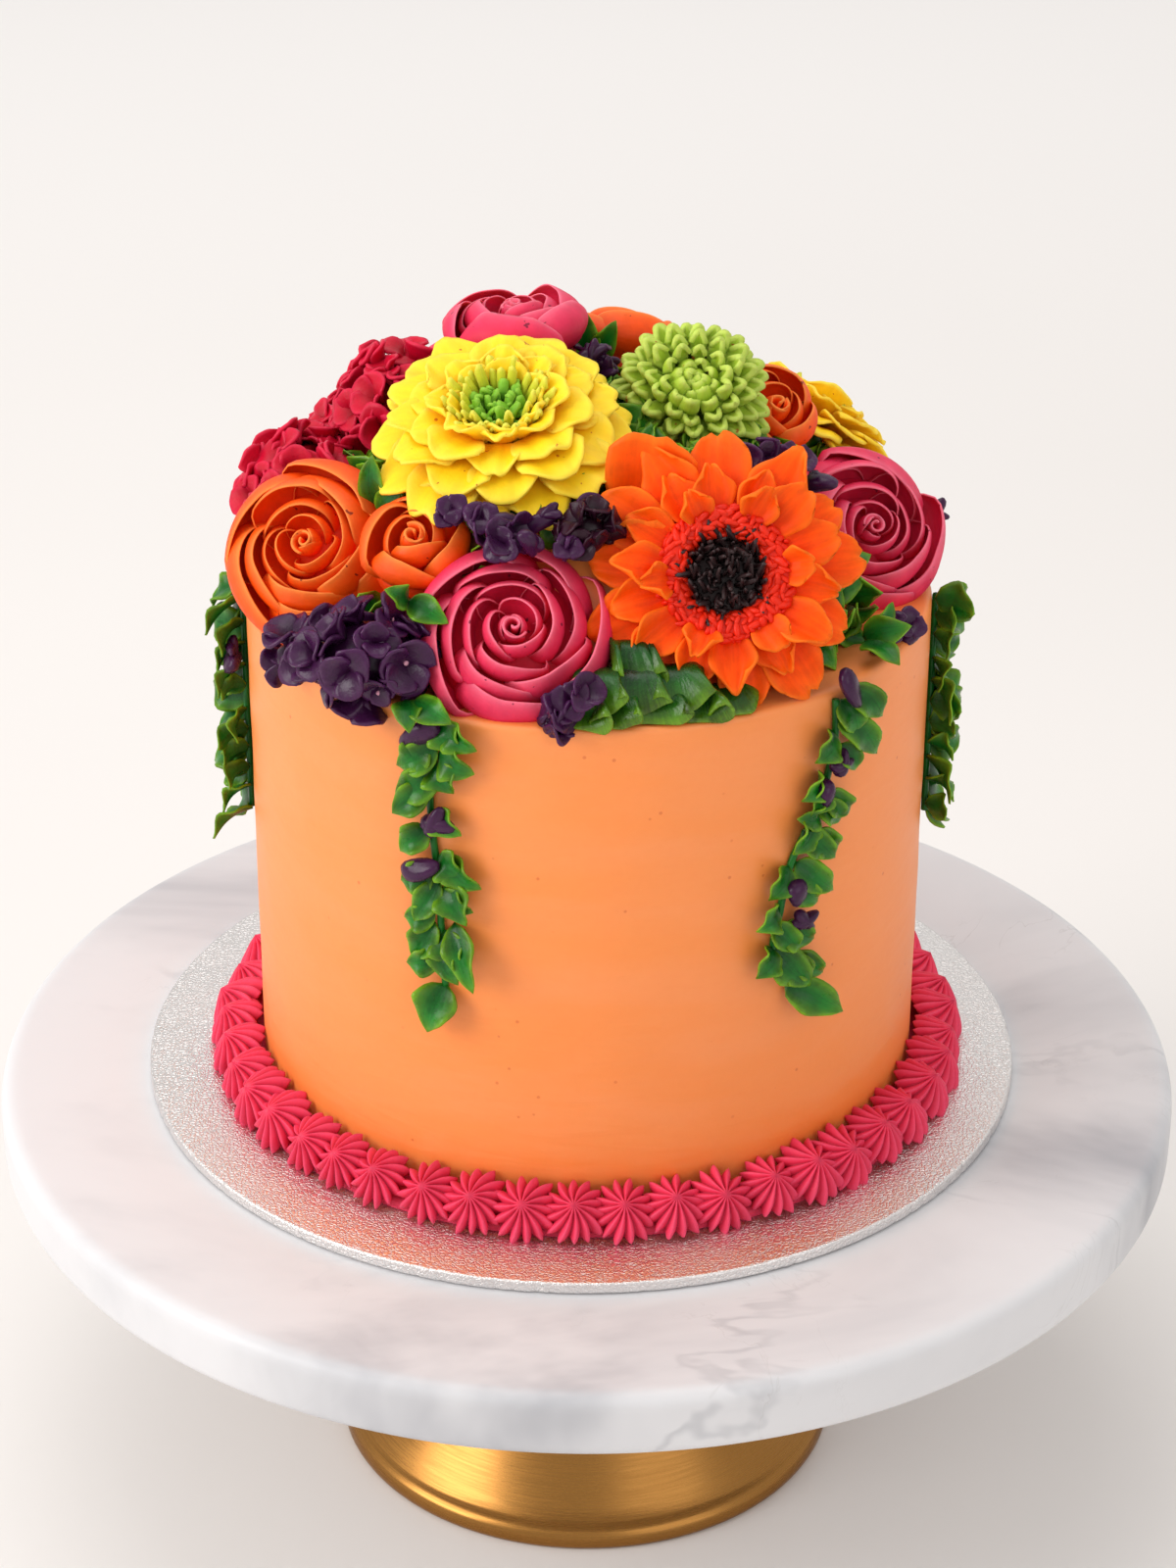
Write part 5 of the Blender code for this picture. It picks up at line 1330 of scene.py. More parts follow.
class CAKE_OT_zinnias(bpy.types.Operator):
    """Makes the three yellow flowers"""

    bl_idname = "cake.zinnias"
    bl_label = "Yellow flowers"

    def execute(self, context):
        held = finishes()
        yellow, lime, green = held["petal_yellow"], held["finger_lime"], held["stamen_green"]

        def make(length, width, seed, number):
            upward = number >= 3
            return petal(length, width, seed, base=0.44, blunt=0.38, notch=0.06 * (seed % 4 == 0),
                         point=0.3 * (seed % 3 == 0), ragged=0.034, cup=2.3 if upward else 1.5, arch=0.9,
                         droop=0.2 if upward else 0.7, crease=0.6, curl=1.5, fold=1.2 * (seed % 3 == 1),
                         thick=1.9, rows=13, columns=19)

        for seed, (name, (place, normal, radius, spin)) in enumerate(ZINNIAS.items()):
            unit = radius / WIDE_FLOWER
            stand = facing(mm(place), normal, spin)
            shape = petal_rings(ZINNIA_RINGS, unit, seed + 3, yellow, make, 8.0)
            shape.take(core_of(ZINNIA_CORE, unit))
            add_piece(name + "_petals", moved(shape, stand), yellow, [name])
            patterns = pattern_set([petal(
                7.4 * unit, 1.7 * unit, 700 + step, base=0.85, blunt=0.25, cup=-0.4, droop=1.3, crease=0.1,
                curl=0.1, thick=2.1, rows=9, columns=7,
            ) for step in range(4)])
            shape = Shape()
            for row, (count, reach, lean) in enumerate(FINGER_RINGS, 60 + seed):
                shape.take(ring_of(patterns, count, reach * unit * MM, 0.9 * unit * MM, lean, lime, row,
                                   lean_spread=9.0, size_spread=0.16, turn_spread=0.2, height_spread=0.0003))
            drop_patterns()
            add_piece(name + "_fingers", moved(shape, stand), lime)
            patterns = pattern_set([upright(petal(
                3.6 * unit, 1.7 * unit, 750 + step, base=0.9, blunt=0.2, droop=1.9, curl=0.2, crease=0.1,
                thick=1.9, rows=7, columns=5,
            )) for step in range(3)])
            height = 0.9 * unit * MM
            disc = upper_part(dome_shape(5.9 * unit * MM, 1.6 * unit * MM, height), height)
            shape = Shape().take(scattered(patterns, disc, 0.0014 * unit, green, 9 + seed, 0.25, 0.35))
            drop_patterns()
            add_piece(name + "_stamens", moved(shape, stand), green)
        return {"FINISHED"}


class CAKE_OT_gerbera(bpy.types.Operator):
    """Makes the large orange flower with its crinkled ring and dark eye"""

    bl_idname = "cake.gerbera"
    bl_label = "Orange daisy"

    def execute(self, context):
        held = finishes()
        orange, coral, dark = held["daisy_orange"], held["bead_coral"], held["eye_dark"]
        place, normal, radius, spin = GERBERA
        unit = radius / WIDE_FLOWER
        stand = facing(mm(place), normal, spin)

        def make(length, width, seed, number):
            return petal(length, width, seed, base=0.46, blunt=0.26, notch=0.08 * (seed % 2), ragged=0.03,
                         point=0.25 + 0.3 * (seed % 3 == 0), cup=0.5 + 0.6 * number, arch=0.9,
                         droop=0.6 - 0.3 * number, crease=0.7, curl=1.1, fold=3.4 * (seed % 3 != 1),
                         thick=1.5, rows=13, columns=17)

        shape = petal_rings(GERBERA_RINGS, unit, 21, orange, make, 9.0)
        shape = moved(shape.take(core_of(GERBERA_CORE, unit)), stand)
        add_piece("orange_gerbera_petals", shape, orange, ["orange_gerbera"])
        roll = []
        for share in np.linspace(0.0, 1.0, 15):
            angle = math.pi * (1.0 - 1.12 * share) + 0.2
            roll.append((12.7 + 3.3 * math.cos(angle), -3.4 + 3.2 * math.sin(angle)))
        ring = core_of([(0.0, -4.2), *roll, (0.0, -6.2)], unit, 64)
        belt = part_of(upper_part(ring, -0.0036 * unit), lambda middle: middle.xy.length > 0.0088 * unit)
        patterns = pattern_set([pebble(3.4 * unit, 1.5 * unit, 300 + step, 7, 9, 0.2, 0.3)
                                for step in range(4)])
        shape = Shape().take(ring)
        shape.take(scattered(patterns, belt, 0.00145 * unit, coral, 31, 0.3, 0.4))
        drop_patterns()
        add_piece("orange_gerbera_beads", moved(shape, stand), coral)
        patterns = pattern_set([upright(petal(
            5.2 * unit, 1.15 * unit, 400 + step, base=0.8, blunt=0.1, point=0.6, droop=1.4, curl=0.1,
            thick=1.2, rows=6, columns=3,
        )) for step in range(4)])
        dome = dome_shape(9.4 * unit * MM, 1.6 * unit * MM, -4.2 * unit * MM)
        shape = Shape().take(dome)
        shape.take(scattered(patterns, upper_part(dome, -4.1 * unit * MM), 0.0012 * unit, dark, 33, 0.3, 0.6))
        drop_patterns()
        add_piece("orange_gerbera_eye", moved(shape, stand), dark)
        return {"FINISHED"}


class CAKE_OT_chrysanthemum(bpy.types.Operator):
    """Makes the green flower with its rows of spoon petals"""

    bl_idname = "cake.chrysanthemum"
    bl_label = "Green flower"

    def execute(self, context):
        material = finishes()["spoon_lime"]
        place, normal, radius, spin = CHRYSANTHEMUM
        unit = radius / GREEN_FLOWER

        def make(length, width, seed, number):
            return petal(length, width, seed, base=0.55, blunt=0.42, point=0.25, ragged=0.01, cup=0.5,
                         arch=-0.7, droop=-0.9 - 0.2 * number, curl=0.25, thick=3.4, rows=10, columns=9)

        shape = petal_rings(CHRYSANTHEMUM_RINGS, unit, 37, material, make)
        shape.take(core_of(CHRYSANTHEMUM_CORE, unit, 32))
        shape = moved(shape, facing(mm(place), normal, spin))
        add_piece("green_chrysanthemum_petals", shape, material, ["green_chrysanthemum"])
        return {"FINISHED"}


# Clusters of small blossoms: centre and half sizes of each lobe in millimetres, radius of a blossom in
# millimetres, distance between blossoms in metres, finish, slot, seed
BLOSSOM_CLUSTERS = {
    "magenta_blossoms": ([((-46.5, 21, 287.5), (14, 18, 14.5)), ((-70, 8, 269.5), (15, 22, 14.5)),
                          ((-55, 45, 267), (18, 18, 15))],
                         7.0, 0.0066, "blossom_crimson", "magenta_buttercream", 51),
    "purple_blossoms": ([((-51, -68, 261), (14, 11, 11)), ((-65, -57, 256), (11, 8, 7))],
                        7.0, 0.0072, "bud_purple", "purple_buttercream", 53),
    "purple_blossoms_back": ([((-4, 76, 256), (13, 7, 8))],
                             6.6, 0.0066, "bud_purple", "purple_buttercream", 55),
}
# Height in metres under which no blossom grows
BLOSSOM_FLOOR = 0.2525


def blossom(radius, seed, petals=4):
    """Small blossom of plump cupped petals round a point, facing +Z."""
    made = Shape()
    draw = np.random.default_rng(seed)
    for index in range(petals):
        part = petal(radius, radius * draw.uniform(0.95, 1.2), seed * 5 + index, base=0.5, blunt=0.32,
                     ragged=0.02, cup=0.26 * radius, arch=0.14 * radius,
                     droop=draw.uniform(-0.22, 0.1) * radius, curl=0.07 * radius, thick=0.26 * radius,
                     rows=9, columns=10)
        turn = 2.0 * math.pi * (index + 0.22 * draw.uniform(-1.0, 1.0)) / petals
        lean = math.radians(draw.uniform(-52.0, -12.0))
        made.take(part, Matrix.Rotation(turn, 4, "Z") @ Matrix.Rotation(lean, 4, "Y"))
    return made


def folded_buds(length, seed):
    """Patterns of dark buds: single drops, drops in pairs and half closed blossoms."""
    made = [pebble(length, 0.62 * length, seed), pebble(length, 0.55 * length, seed + 1)]
    for step in range(2):
        pair = Shape()
        for side in (-1, 1):
            turn = Matrix.Rotation(side * math.radians(24 + 8 * step), 4, "Z")
            turn = turn @ Matrix.Rotation(0.3 * side, 4, "X") @ Matrix.Translation(mm((0.1 * length, 0, 0)))
            pair.take(pebble(0.92 * length, 0.42 * length, seed + 10 + step + side), turn)
        made.append(pair)
    for step in range(2):
        bunch = Shape()
        for index in range(3):
            turn = Matrix.Rotation(2.1 * index + step, 4, "Z") @ Matrix.Rotation(-0.45, 4, "Y")
            part = petal(0.62 * length, 0.66 * length, seed + 20 + 5 * step + index, base=0.6, blunt=0.4,
                         cup=1.2, arch=1.3, droop=-0.6, curl=0.5, thick=2.6, rows=9, columns=11)
            bunch.take(part, turn)
        made.append(bunch)
    return made


def ellipsoid(centre, half, rows=14, columns=24):
    """Closed ellipsoid in millimetres."""
    profile = [(math.sin(angle), math.cos(angle)) for angle in np.linspace(0.0, math.pi, rows)]
    stretch = Matrix.Translation(mm(centre)) @ Matrix.Diagonal((*mm(half), 1.0))
    return moved(lathe(profile, columns), stretch)


def outer_part(shapes, lobes, lowest):
    """Mesh of the faces of the lobes that are above a height and inside no other lobe."""
    points, faces = [], []
    for number, shape in enumerate(shapes):
        whole = shape.mesh("lobe")
        start = len(points)
        points += [vert.co.copy() for vert in whole.vertices]
        for face in whole.polygons:
            middle = face.center
            hidden = middle.z < lowest
            for other, (centre, half) in enumerate(lobes):
                if other != number:
                    away = [(middle[axis] - centre[axis] * MM) / (half[axis] * MM) for axis in range(3)]
                    hidden = hidden or sum(value * value for value in away) < 0.85
            if not hidden:
                faces.append(tuple(start + index for index in face.vertices))
    mesh = bpy.data.meshes.new("outer")
    mesh.from_pydata(points, [], faces)
    return mesh


class CAKE_OT_blossoms(bpy.types.Operator):
    """Makes the clusters of small crimson and purple blossoms"""

    bl_idname = "cake.blossoms"
    bl_label = "Small blossoms"

    def execute(self, context):
        held = finishes()
        for name, (lobes, radius, distance, finish, slot, seed) in BLOSSOM_CLUSTERS.items():
            cores = [ellipsoid(centre, [value - 2.4 for value in half]) for centre, half in lobes]
            shape = Shape()
            for core in cores:
                # The cores take the full deep colour: painted shade between the blossoms.
                core.values[0][:, 0] = 0.0
                shape.take(core)
            patterns = pattern_set([blossom(radius, seed + step) for step in range(6)])
            lowest = min(centre[2] - 0.75 * half[2] for centre, half in lobes) * MM
            surface = outer_part(cores, lobes, max(lowest, BLOSSOM_FLOOR))
            shape.take(scattered(patterns, surface, distance, held[finish], seed, 0.2, 0.6))
            drop_patterns()
            add_piece(name + "_piped", shape, held[finish], [name])
            if finish == "bud_purple":
                pearl = held["pearl_pink"]
                patterns = pattern_set([pebble(1.5, 1.4, 800 + step, 7, 9) for step in range(3)])
                pearls = scattered(patterns, surface, 0.0075, pearl, seed + 7, 0.3, 0.5)
                drop_patterns()
                middle = mm(lobes[0][0])
                grow = Matrix.Translation(middle) @ Matrix.Scale(1.22, 4) @ Matrix.Translation(-middle)
                add_piece(name + "_pearls", Shape().take(pearls, grow), pearl)
        return {"FINISHED"}


BUD_GROUPS = {
    "purple_buds_middle": [(-25, -53, 289), (-18, -56, 289), (-11, -55, 289), (-33, -51, 289),
                           (-4, -52, 288), (1, -50, 286), (-5, -60, 285), (-13, -61, 286), (-21, -60, 287)],
    "purple_buds_top": [(0, 14, 303), (4, 14, 301), (2, 20, 302)],
    "purple_buds_right": [(43, -24, 293), (49, -22, 291), (37, -25, 294), (54, -20, 288)],
    "purple_buds_rim": [(-7, -84, 254), (-11, -83, 252), (-4, -82, 257)],
    "purple_buds_far_right": [(73, -37, 254), (77, -32, 253), (70, -42, 254)],
    "dark_beads_right": [(85, 13, 262), (86, 18, 259), (83, 24, 257)],
}
# Small near black bunch: centre and half sizes
DARK_BUNCH = ((-0.5, -56.0, 287.0), (6.0, 5.0, 6.2))


class CAKE_OT_buds(bpy.types.Operator):
    """Makes the groups of purple buds between the flowers"""

    bl_idname = "cake.buds"
    bl_label = "Purple buds"

    def execute(self, context):
        material = finishes()["bud_purple"]
        draw = np.random.default_rng(71)
        open_ones = [moved(blossom(6.4, 540 + step, 3), Matrix.Rotation(0.9, 4, "Y")) for step in range(3)]
        patterns = pattern_set(folded_buds(9.0, 500) + open_ones)
        for seed, (name, places) in enumerate(BUD_GROUPS.items()):
            placings = []
            for place in places:
                for step in range(2):
                    nudge = Vector(draw.uniform(-2.2, 2.2, 3)) * step
                    direction = Vector(draw.uniform(-1.0, 1.0, 3)) + Vector((1.0, 0.0, 0.3))
                    matrix = lying(mm(Vector(place) + nudge), direction, (0.1, -0.7, 0.6))
                    placings.append((matrix, [float(draw.uniform(0.8, 1.08))] * 3))
            shape = Shape().take(place_all(patterns, placings, material, seed))
            add_piece(name + "_piped", shape, material, [name])
        drop_patterns()
        add_piece("dark_bunch_piped", dark_bunch(), finishes()["bunch_dark"])
        return {"FINISHED"}


def dark_bunch():
    """Small ball of near black ruffled petals between the front rose and the yellow flower."""
    centre, half = DARK_BUNCH
    core = ellipsoid(centre, [value - 1.5 for value in half])
    surface = outer_part([core], [DARK_BUNCH], (centre[2] - 2.0) * MM)
    patterns = pattern_set([blossom(4.6, 560 + step, 3) for step in range(4)])
    shape = Shape().take(core)
    shape.take(scattered(patterns, surface, 0.0034, finishes()["bunch_dark"], 57, 0.2, 0.9))
    drop_patterns()
    return shape


# Length and width of the leaf that is drawn, in millimetres; each placed leaf is a scaled copy
LEAF_LENGTH, LEAF_WIDTH = 10, 7

# Leaves: place, direction, normal, length and width, in millimetres
LEAF_GROUPS = {
    "leaf_left": [((-50, -30, 284), (-0.1, -0.2, 1.0), (-0.4, -0.8, 0.3), 14, 8),
                  ((-49, -32, 282), (0.45, -0.3, 0.8), (-0.3, -0.8, 0.4), 11, 7)],
    "leaf_under_bud": [((-41, -66, 274), (0.8, -0.45, -0.25), (0.0, -0.8, 0.6), 11, 7),
                       ((-42, -66, 275), (-0.4, -0.4, 0.4), (0.0, -0.8, 0.6), 8, 6)],
    "leaf_top": [((-1, 32, 298), (-0.1, -0.1, 1.0), (0.1, -1.0, 0.2), 15, 8),
                 ((1, 32, 298), (0.5, -0.1, 0.9), (0.1, -1.0, 0.2), 12, 7)],
    "leaf_right": [((66, -44, 256), (0.8, -0.2, 0.3), (0.4, -0.8, 0.5), 12, 8),
                   ((66, -46, 255), (0.55, -0.65, -0.1), (0.3, -0.6, 0.8), 12, 8),
                   ((68, -42, 256), (0.5, 0.2, 0.8), (0.4, -0.8, 0.3), 9, 6)],
    "leaf_left_rim": [((-40, -78, 254), (0.6, -0.5, -0.1), (0.0, -0.7, 0.7), 12, 8),
                      ((-42, -77, 254), (0.1, -0.8, -0.3), (0.0, -0.5, 0.9), 10, 7)],
}
# Ruffled ribbons on the rim: first and last angle, radius and rise in metres, width in millimetres
RIBBONS = [(-5.0, 28.0, 0.0735, 0.0032, 12.0), (-3.5, 23.0, 0.0705, 0.0085, 12.5),
           (4.0, 14.0, 0.067, 0.0135, 10.0)]
# Wide petals behind the daisy: place, direction, normal, scale
WIDE_PETALS = [((13, -43, 281), (0.12, 0.0, 1.0), (-0.15, -0.95, 0.25), (1.0, 1.0, 1.0)),
               ((14, -51, 269), (0.0, -0.16, 0.95), (-0.1, -0.9, 0.35), (0.85, 0.8, 1.0))]
# Depth of each flower's body below its middle, in millimetres, and the reach of the test in metres
ZINNIA_BODY, DEEP_BODY = 12.0, 18.0
BODY_REACH = 0.03


def ruffle(size, first, last, reach, rise, width, seed):
    """Ruffled ribbon of leaf icing that lies along the rim from one angle to another, in degrees."""
    draw = np.random.default_rng(seed)
    rows, columns = 9, 150
    u, v = share_grid(rows, columns)
    share = 0.5 * (v + 1.0)
    span = math.radians(last - first)
    count = span * reach / (8.6 * MM)
    phase = 2.0 * math.pi * count * share + 1.5 * waves(share * 7.0, draw, 3, 1.7) + draw.uniform(0.0, 6.28)
    turn = math.radians(first) + span * share + 0.045 * np.sin(phase + 1.2) * u ** 2
    ends = np.clip(12.0 * share * (1.0 - share), 0.3, 1.0)
    uneven = 1.0 + 0.45 * waves(share * 9.0, draw, 3, 1.3)
    out = reach + width * MM * ends * u * (0.82 + 0.18 * uneven + 0.12 * np.sin(phase + 0.8) * u)
    fold = 2.6 * MM * u ** 2 * uneven * np.sin(phase) + 0.5 * MM * u ** 3 * np.sin(2.6 * phase + 1.0)
    up = size.cake_top + rise + 2.2 * MM * np.sin(math.pi * u) + np.maximum(fold, -0.7 * rise)
    up = np.maximum(up - 0.45 * rise * u ** 2, size.cake_top + 0.0004)
    up = up - 1.6 * MM * np.clip((out - size.cake_radius) / 0.003, 0.0, 1.0)
    points = np.stack((out * np.sin(turn), -out * np.cos(turn), up), axis=-1)
    made = sheet(points, 1.1 * MM * (1.0 - 0.4 * u), u ** 7)
    made.values[0][:, 3] = 0.5 + 0.5 * np.sin(np.tile(0.5 * phase.ravel(), 2))
    return made


def clear_of_flowers(mesh):
    """Copy of a surface without the faces inside a flower; what its rim overhangs is kept."""
    flowers = [(place, normal, radius, 0.5 * radius + 9.0) for place, normal, radius, *_ in ROSES.values()]
    flowers += [(*flower[:3], ZINNIA_BODY) for flower in ZINNIAS.values()]
    flowers += [(*flower[:3], DEEP_BODY) for flower in (GERBERA, CHRYSANTHEMUM)]

    def clear(middle):
        for place, normal, radius, body in flowers:
            away = middle - mm(place)
            axis = Vector(normal).normalized()
            up = away.dot(axis)
            reach = radius if up > -body * MM else 0.5 * radius
            if abs(up) < BODY_REACH and (away - axis * up).length < reach * MM:
                return False
        return True

    return part_of(mesh, clear)


class CAKE_OT_leaves(bpy.types.Operator):
    """Makes the loose leaves, the ruffled leaves on the rim and the wide petals behind the daisy"""

    bl_idname = "cake.leaves"
    bl_label = "Leaves"

    def execute(self, context):
        held = finishes()
        green, orange = held["leaf_green"], held["daisy_orange"]
        size = context.scene.cake_sizes
        patterns = pattern_set([leaf_blade(LEAF_LENGTH, LEAF_WIDTH, 600 + step) for step in range(5)])
        for seed, (name, leaves) in enumerate(LEAF_GROUPS.items(), 90):
            placings = [(lying(mm(place), direction, normal), (length / LEAF_LENGTH, width / LEAF_WIDTH, 1.0))
                        for place, direction, normal, length, width in leaves]
            shape = Shape().take(place_all(patterns, placings, green, seed))
            add_piece(name + "_piped", shape, green, [name])
        drop_patterns()
        shape = Shape()
        for seed, ribbon in enumerate(RIBBONS, 640):
            shape.take(ruffle(size, *ribbon, seed))
        # The ruffle takes the darker leaf icing, which is painted shade.
        add_piece("leaf_ruffle_piped", shape, held["leaf_dark"], ["leaf_ruffle"])
        patterns = pattern_set([petal(
            26, 22, 660 + step, base=0.5, blunt=0.2, cup=0.7, arch=0.5, crease=0.9, ragged=0.045, curl=1.2,
            fold=2.0, thick=1.8, rows=13, columns=17,
        ) for step in range(2)])
        placings = [(lying(mm(place), direction, normal), scale)
                    for place, direction, normal, scale in WIDE_PETALS]
        shape = Shape().take(place_all(patterns, placings, orange, 97))
        drop_patterns()
        add_piece("orange_petals_piped", shape, orange, ["orange_petals"])
        dome = dome_shape(size.mound_radius + 0.001, size.mound_top - size.cake_top, size.cake_top, 96)
        surface = clear_of_flowers(upper_part(dome, size.cake_top + 0.002))
        patterns = pattern_set([upright(leaf_blade(10, 8.5, 680 + step, wave=1.2, rows=7, columns=5))
                                for step in range(5)])
        shape = Shape().take(scattered(patterns, surface, 0.0043, green, 99, 0.2, 0.9))
        drop_patterns()
        add_piece("filler_leaves_piped", shape, green)
        return {"FINISHED"}


# Vines down the side: route (degrees, mm), then leaves and buds (degrees, mm, turn, length, width)
VINES = {
    "vine_front_left": (
        [(-24, 251), (-25, 235), (-25, 224), (-24, 209), (-23.5, 193), (-23, 180)],
        [(-22, 249, 71, 10, 7), (-23, 242, 74, 10, 8), (-24, 244, -56, 12, 7), (-24, 238, -49, 14, 8),
         (-22, 215, 56, 11, 7), (-22, 208, 34, 11, 8), (-24, 208, -26, 12, 6), (-25, 197, -24, 12, 7),
         (-21, 197, 26, 17, 7), (-23, 192, 30, 11, 7), (-23, 180, -16, 13, 9)],
        [(-23, 250, -56, 13, 6), (-26, 222, 125, 11, 6), (-29, 211, 110, 12, 6)],
    ),
    "vine_front_right": (
        [(42, 249), (42, 237), (39, 222), (34, 210), (32, 197), (31, 186), (35, 175)],
        [(45, 250, 45, 13, 7), (43, 244, 42, 18, 7), (39, 231, -60, 9, 6), (39, 223, 47, 9, 6),
         (39, 221, -96, 8, 6), (36, 217, 44, 12, 6), (35, 209, 46, 13, 7), (31, 194, 39, 10, 6),
         (31, 187, 40, 15, 8), (35, 184, 50, 11, 6), (34, 176, 56, 17, 8)],
        [(42, 257, 28, 14, 6), (40, 231, 127, 8, 6), (39, 230, 2, 8, 5), (33, 196, 72, 9, 6),
         (34, 206, 2, 8, 6)],
    ),
}
SIDE_VINES = {
    "vine_left": ([(-88, 250), (-89, 236), (-87, 222), (-88, 208), (-89, 188)], [0.22, 0.3]),
    "vine_right": ([(86, 250), (88, 238), (87, 222), (88, 206), (87, 189)], [0.12, 0.5]),
    "vine_back": ([(152, 249), (150, 236), (153, 220), (151, 204), (150, 190)], [0.5, 0.2]),
}
STEM_RADIUS = 0.0009


def on_side(size, turn, height, standoff):
    """Point on the cake's side, and the outward direction there; `turn` is from the front."""
    turn = math.radians(turn)
    outward = Vector((math.sin(turn), -math.cos(turn), 0.0))
    return outward * (size.cake_radius + standoff) + Vector((0.0, 0.0, height * MM)), outward


def hanging(size, turn, height, swing, standoff, outward_share):
    """Matrix of a leaf or a bud on the side, swung from straight down towards the right."""
    place, outward = on_side(size, turn, height, standoff)
    swing = math.radians(swing)
    direction = Vector((-outward.y, outward.x, 0.0)) * math.sin(swing) - Vector((0.0, 0.0, math.cos(swing)))
    return lying(place, direction + outward * outward_share, outward)


def turn_at(route, height):
    """Turn of a vine at a height, in degrees."""
    turns, heights = zip(*route)
    return float(np.interp(-height, [-value for value in heights], turns))


def side_items(route, shares, seed):
    """Leaves and buds in turn down a vine that is seen edge on or not at all."""
    draw = np.random.default_rng(seed)
    top, fall = route[0][1], route[0][1] - route[-1][1]
    leaves = []
    for index in range(22):
        height = top - fall * (index + draw.uniform(-0.3, 0.3)) / 21
        side = 1 if index % 2 else -1
        leaves.append((turn_at(route, height) + 1.2 * side, height, side * draw.uniform(15, 95),
                       draw.uniform(8, 14), draw.uniform(6.0, 9.5)))
    buds = []
    for share in shares:
        height = top - fall * share
        buds.append((turn_at(route, height) + draw.uniform(-3, 3), height, draw.uniform(60, 120), 10, 6))
    return route, leaves, buds


def between_leaves(route, draw):
    """Smaller leaves on both sides of a vine that is seen from the front."""
    made = []
    side = 1
    height = route[0][1] - 1.0
    while height > route[-1][1] + 4.0:
        made.append((turn_at(route, height) + side, height, side * draw.uniform(25, 70),
                     draw.uniform(8, 11), draw.uniform(6.0, 8.0)))
        side = -side
        height -= draw.uniform(4.5, 7.0)
    return made


class CAKE_OT_vines(bpy.types.Operator):
    """Makes the five vines that hang down the side of the cake"""

    bl_idname = "cake.vines"
    bl_label = "Vines"

    def execute(self, context):
        held = finishes()
        green, purple = held["leaf_green"], held["bud_purple"]
        size = context.scene.cake_sizes
        draw = np.random.default_rng(81)
        routes = dict(VINES)
        for seed, (name, (route, shares)) in enumerate(SIDE_VINES.items(), 83):
            routes[name] = side_items(route, shares, seed)
        for seed, (name, (route, leaves, buds)) in enumerate(routes.items()):
            outward = (0.2, 1.5)
            if name in VINES:
                outward = (0.1, 0.4)
                leaves = leaves + between_leaves(route, draw)
            line = bpy.data.meshes.new("line")
            points = [on_side(size, turn, height, STEM_RADIUS)[0] for turn, height in route]
            line.from_pydata(points, [(index, index + 1) for index in range(len(points) - 1)], [])
            stem = grown(stem_tree(), {"Radius": STEM_RADIUS, "Material": held["stem_green"]}, line)
            patterns = pattern_set([
                leaf_blade(LEAF_LENGTH, LEAF_WIDTH, 900 + step, wave=1.3, fold=0.24, arch=1.4)
                for step in range(6)
            ])
            placings = [
                (hanging(size, turn, height, swing, 0.0012, draw.uniform(*outward)),
                 (length / LEAF_LENGTH, 1.15 * width / LEAF_WIDTH, 1.0))
                for turn, height, swing, length, width in leaves
            ]
            shape = Shape().take(stem).take(place_all(patterns, placings, green, 85 + seed))
            drop_patterns()
            add_piece(name + "_leaves", shape, green, [name])
            patterns = pattern_set(folded_buds(10.0, 940)[:4])
            placings = []
            for turn, height, swing, length, width in buds:
                matrix = hanging(size, turn, height, swing, 0.0034, 0.0)
                matrix = matrix @ Matrix.Translation(mm((0.4 * length, 0, 0)))
                placings.append((matrix, (length / 11, width / 6, 0.9)))
            shape = Shape().take(place_all(patterns, placings, purple, 87 + seed))
            drop_patterns()
            add_piece(name + "_buds", shape, purple)
        return {"FINISHED"}


# Stage

# Lights: place, size in metres, power in watts, colour
LIGHTS = {
    "key": ((-1.65, -0.75, 1.05), 1.2, 25.0, (1.0, 0.985, 0.965)),
    "fill": ((1.2, -1.5, 0.95), 1.4, 6.0, (1.0, 0.99, 0.98)),
    "top": ((-0.2, 0.3, 1.8), 1.2, 9.0, (1.0, 0.99, 0.98)),
}
LIT_POINT = Vector((0.0, 0.0, 0.2))
SKY_COLOUR, SKY_STRENGTH = (1.0, 0.985, 0.97, 1.0), 0.72
# Camera: distance and height of what it aims at in metres, then its pitch and roll in degrees
CAMERA_DISTANCE, AIM_HEIGHT, PITCH, ROLL = 0.907, 0.1936, 27.15, -0.23
FOCAL_LENGTH, SENSOR_WIDTH = 81.0, 36.0


def area_light(name, place, size, watts, tint):
    """Soft square light that looks at the object."""
    data = bpy.data.lights.new(name, "AREA")
    data.shape = "SQUARE"
    data.size = size
    data.energy = watts
    data.color = tint
    made = bpy.data.objects.new(name, data)
    made.location = place
    made.rotation_euler = (LIT_POINT - Vector(place)).to_track_quat("-Z", "Y").to_euler()
    bpy.context.scene.collection.objects.link(made)


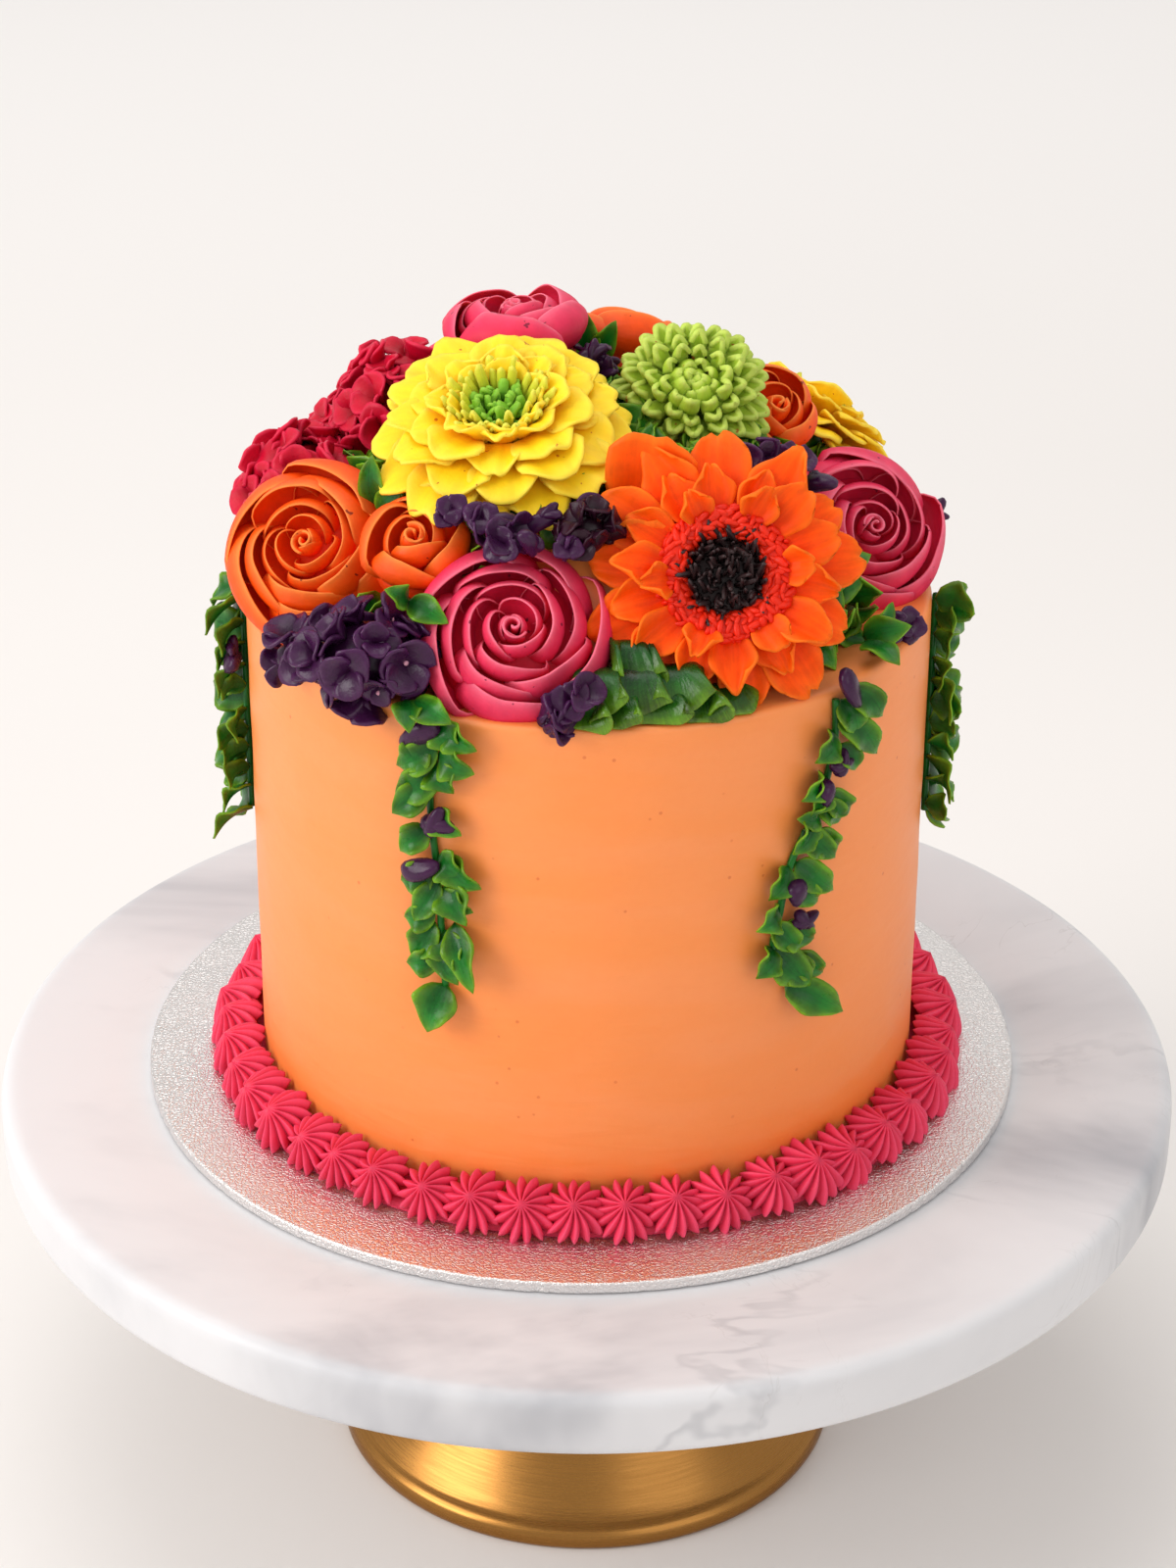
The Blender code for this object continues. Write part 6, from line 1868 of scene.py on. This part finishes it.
class CAKE_OT_stage(bpy.types.Operator):
    """Makes the pale floor, the soft studio light and the camera"""

    bl_idname = "cake.stage"
    bl_label = "Stage"

    def execute(self, context):
        scene = context.scene
        floor = lathe([(0.0, 0.0), (1.0, 0.0), (3.0, 0.0), (8.0, 0.0), (8.0, -0.02), (0.0, -0.02)], 96)
        made = bpy.data.objects.new("floor", floor.mesh("floor"))
        made.data.materials.append(floor_material())
        scene.collection.objects.link(made)
        for name, light in LIGHTS.items():
            area_light(name, *light)
        world = bpy.data.worlds.new("studio")
        world.use_nodes = True
        sky = world.node_tree.nodes["Background"]
        feed(world.node_tree, sky, {"Color": SKY_COLOUR, "Strength": SKY_STRENGTH})
        scene.world = world
        scene.view_settings.view_transform = "Standard"
        camera = bpy.data.cameras.new("camera")
        camera.lens = FOCAL_LENGTH
        camera.sensor_width = SENSOR_WIDTH
        camera.sensor_fit = "AUTO"
        camera.clip_start = 0.05
        eye = bpy.data.objects.new("camera", camera)
        pitch = math.radians(PITCH)
        back, rise = CAMERA_DISTANCE * math.cos(pitch), CAMERA_DISTANCE * math.sin(pitch)
        turn = Matrix.Rotation(math.radians(90.0) - pitch, 4, "X")
        turn = turn @ Matrix.Rotation(-math.radians(ROLL), 4, "Z")
        eye.matrix_world = Matrix.Translation((0.0, -back, AIM_HEIGHT + rise)) @ turn
        scene.collection.objects.link(eye)
        scene.camera = eye
        return {"FINISHED"}


OPERATORS = (CAKE_OT_stand, CAKE_OT_board, CAKE_OT_icing, CAKE_OT_border, CAKE_OT_roses, CAKE_OT_zinnias,
             CAKE_OT_gerbera, CAKE_OT_chrysanthemum, CAKE_OT_blossoms, CAKE_OT_buds, CAKE_OT_leaves,
             CAKE_OT_vines, CAKE_OT_stage)


class CAKE_PT_panel(bpy.types.Panel):
    """Lists the pieces, sizes and colours in the sidebar"""

    bl_idname = "CAKE_PT_panel"
    bl_label = "Flower cake"
    bl_space_type = "VIEW_3D"
    bl_region_type = "UI"
    bl_category = "Flower cake"

    def draw(self, context):
        layout = self.layout
        for operator in OPERATORS:
            layout.operator(operator.bl_idname)
        for group in (context.scene.cake_sizes, context.scene.cake_colours):
            box = layout.box()
            for name in group.__annotations__:
                box.prop(group, name)


CLASSES = (CakeSizes, CakeColours, *OPERATORS, CAKE_PT_panel)


def register():
    """Register the classes and their place on the scene."""
    for item in CLASSES:
        bpy.utils.register_class(item)
    bpy.types.Scene.cake_sizes = bpy.props.PointerProperty(type=CakeSizes)
    bpy.types.Scene.cake_colours = bpy.props.PointerProperty(type=CakeColours)


def unregister():
    """Take back what register did."""
    del bpy.types.Scene.cake_sizes
    del bpy.types.Scene.cake_colours
    for item in reversed(CLASSES):
        bpy.utils.unregister_class(item)


def main():
    """Make every piece in turn."""
    register()
    for operator in OPERATORS:
        group, name = operator.bl_idname.split(".")
        getattr(getattr(bpy.ops, group), name)()
    bpy.context.view_layer.update()


if __name__ == "__main__":
    main()
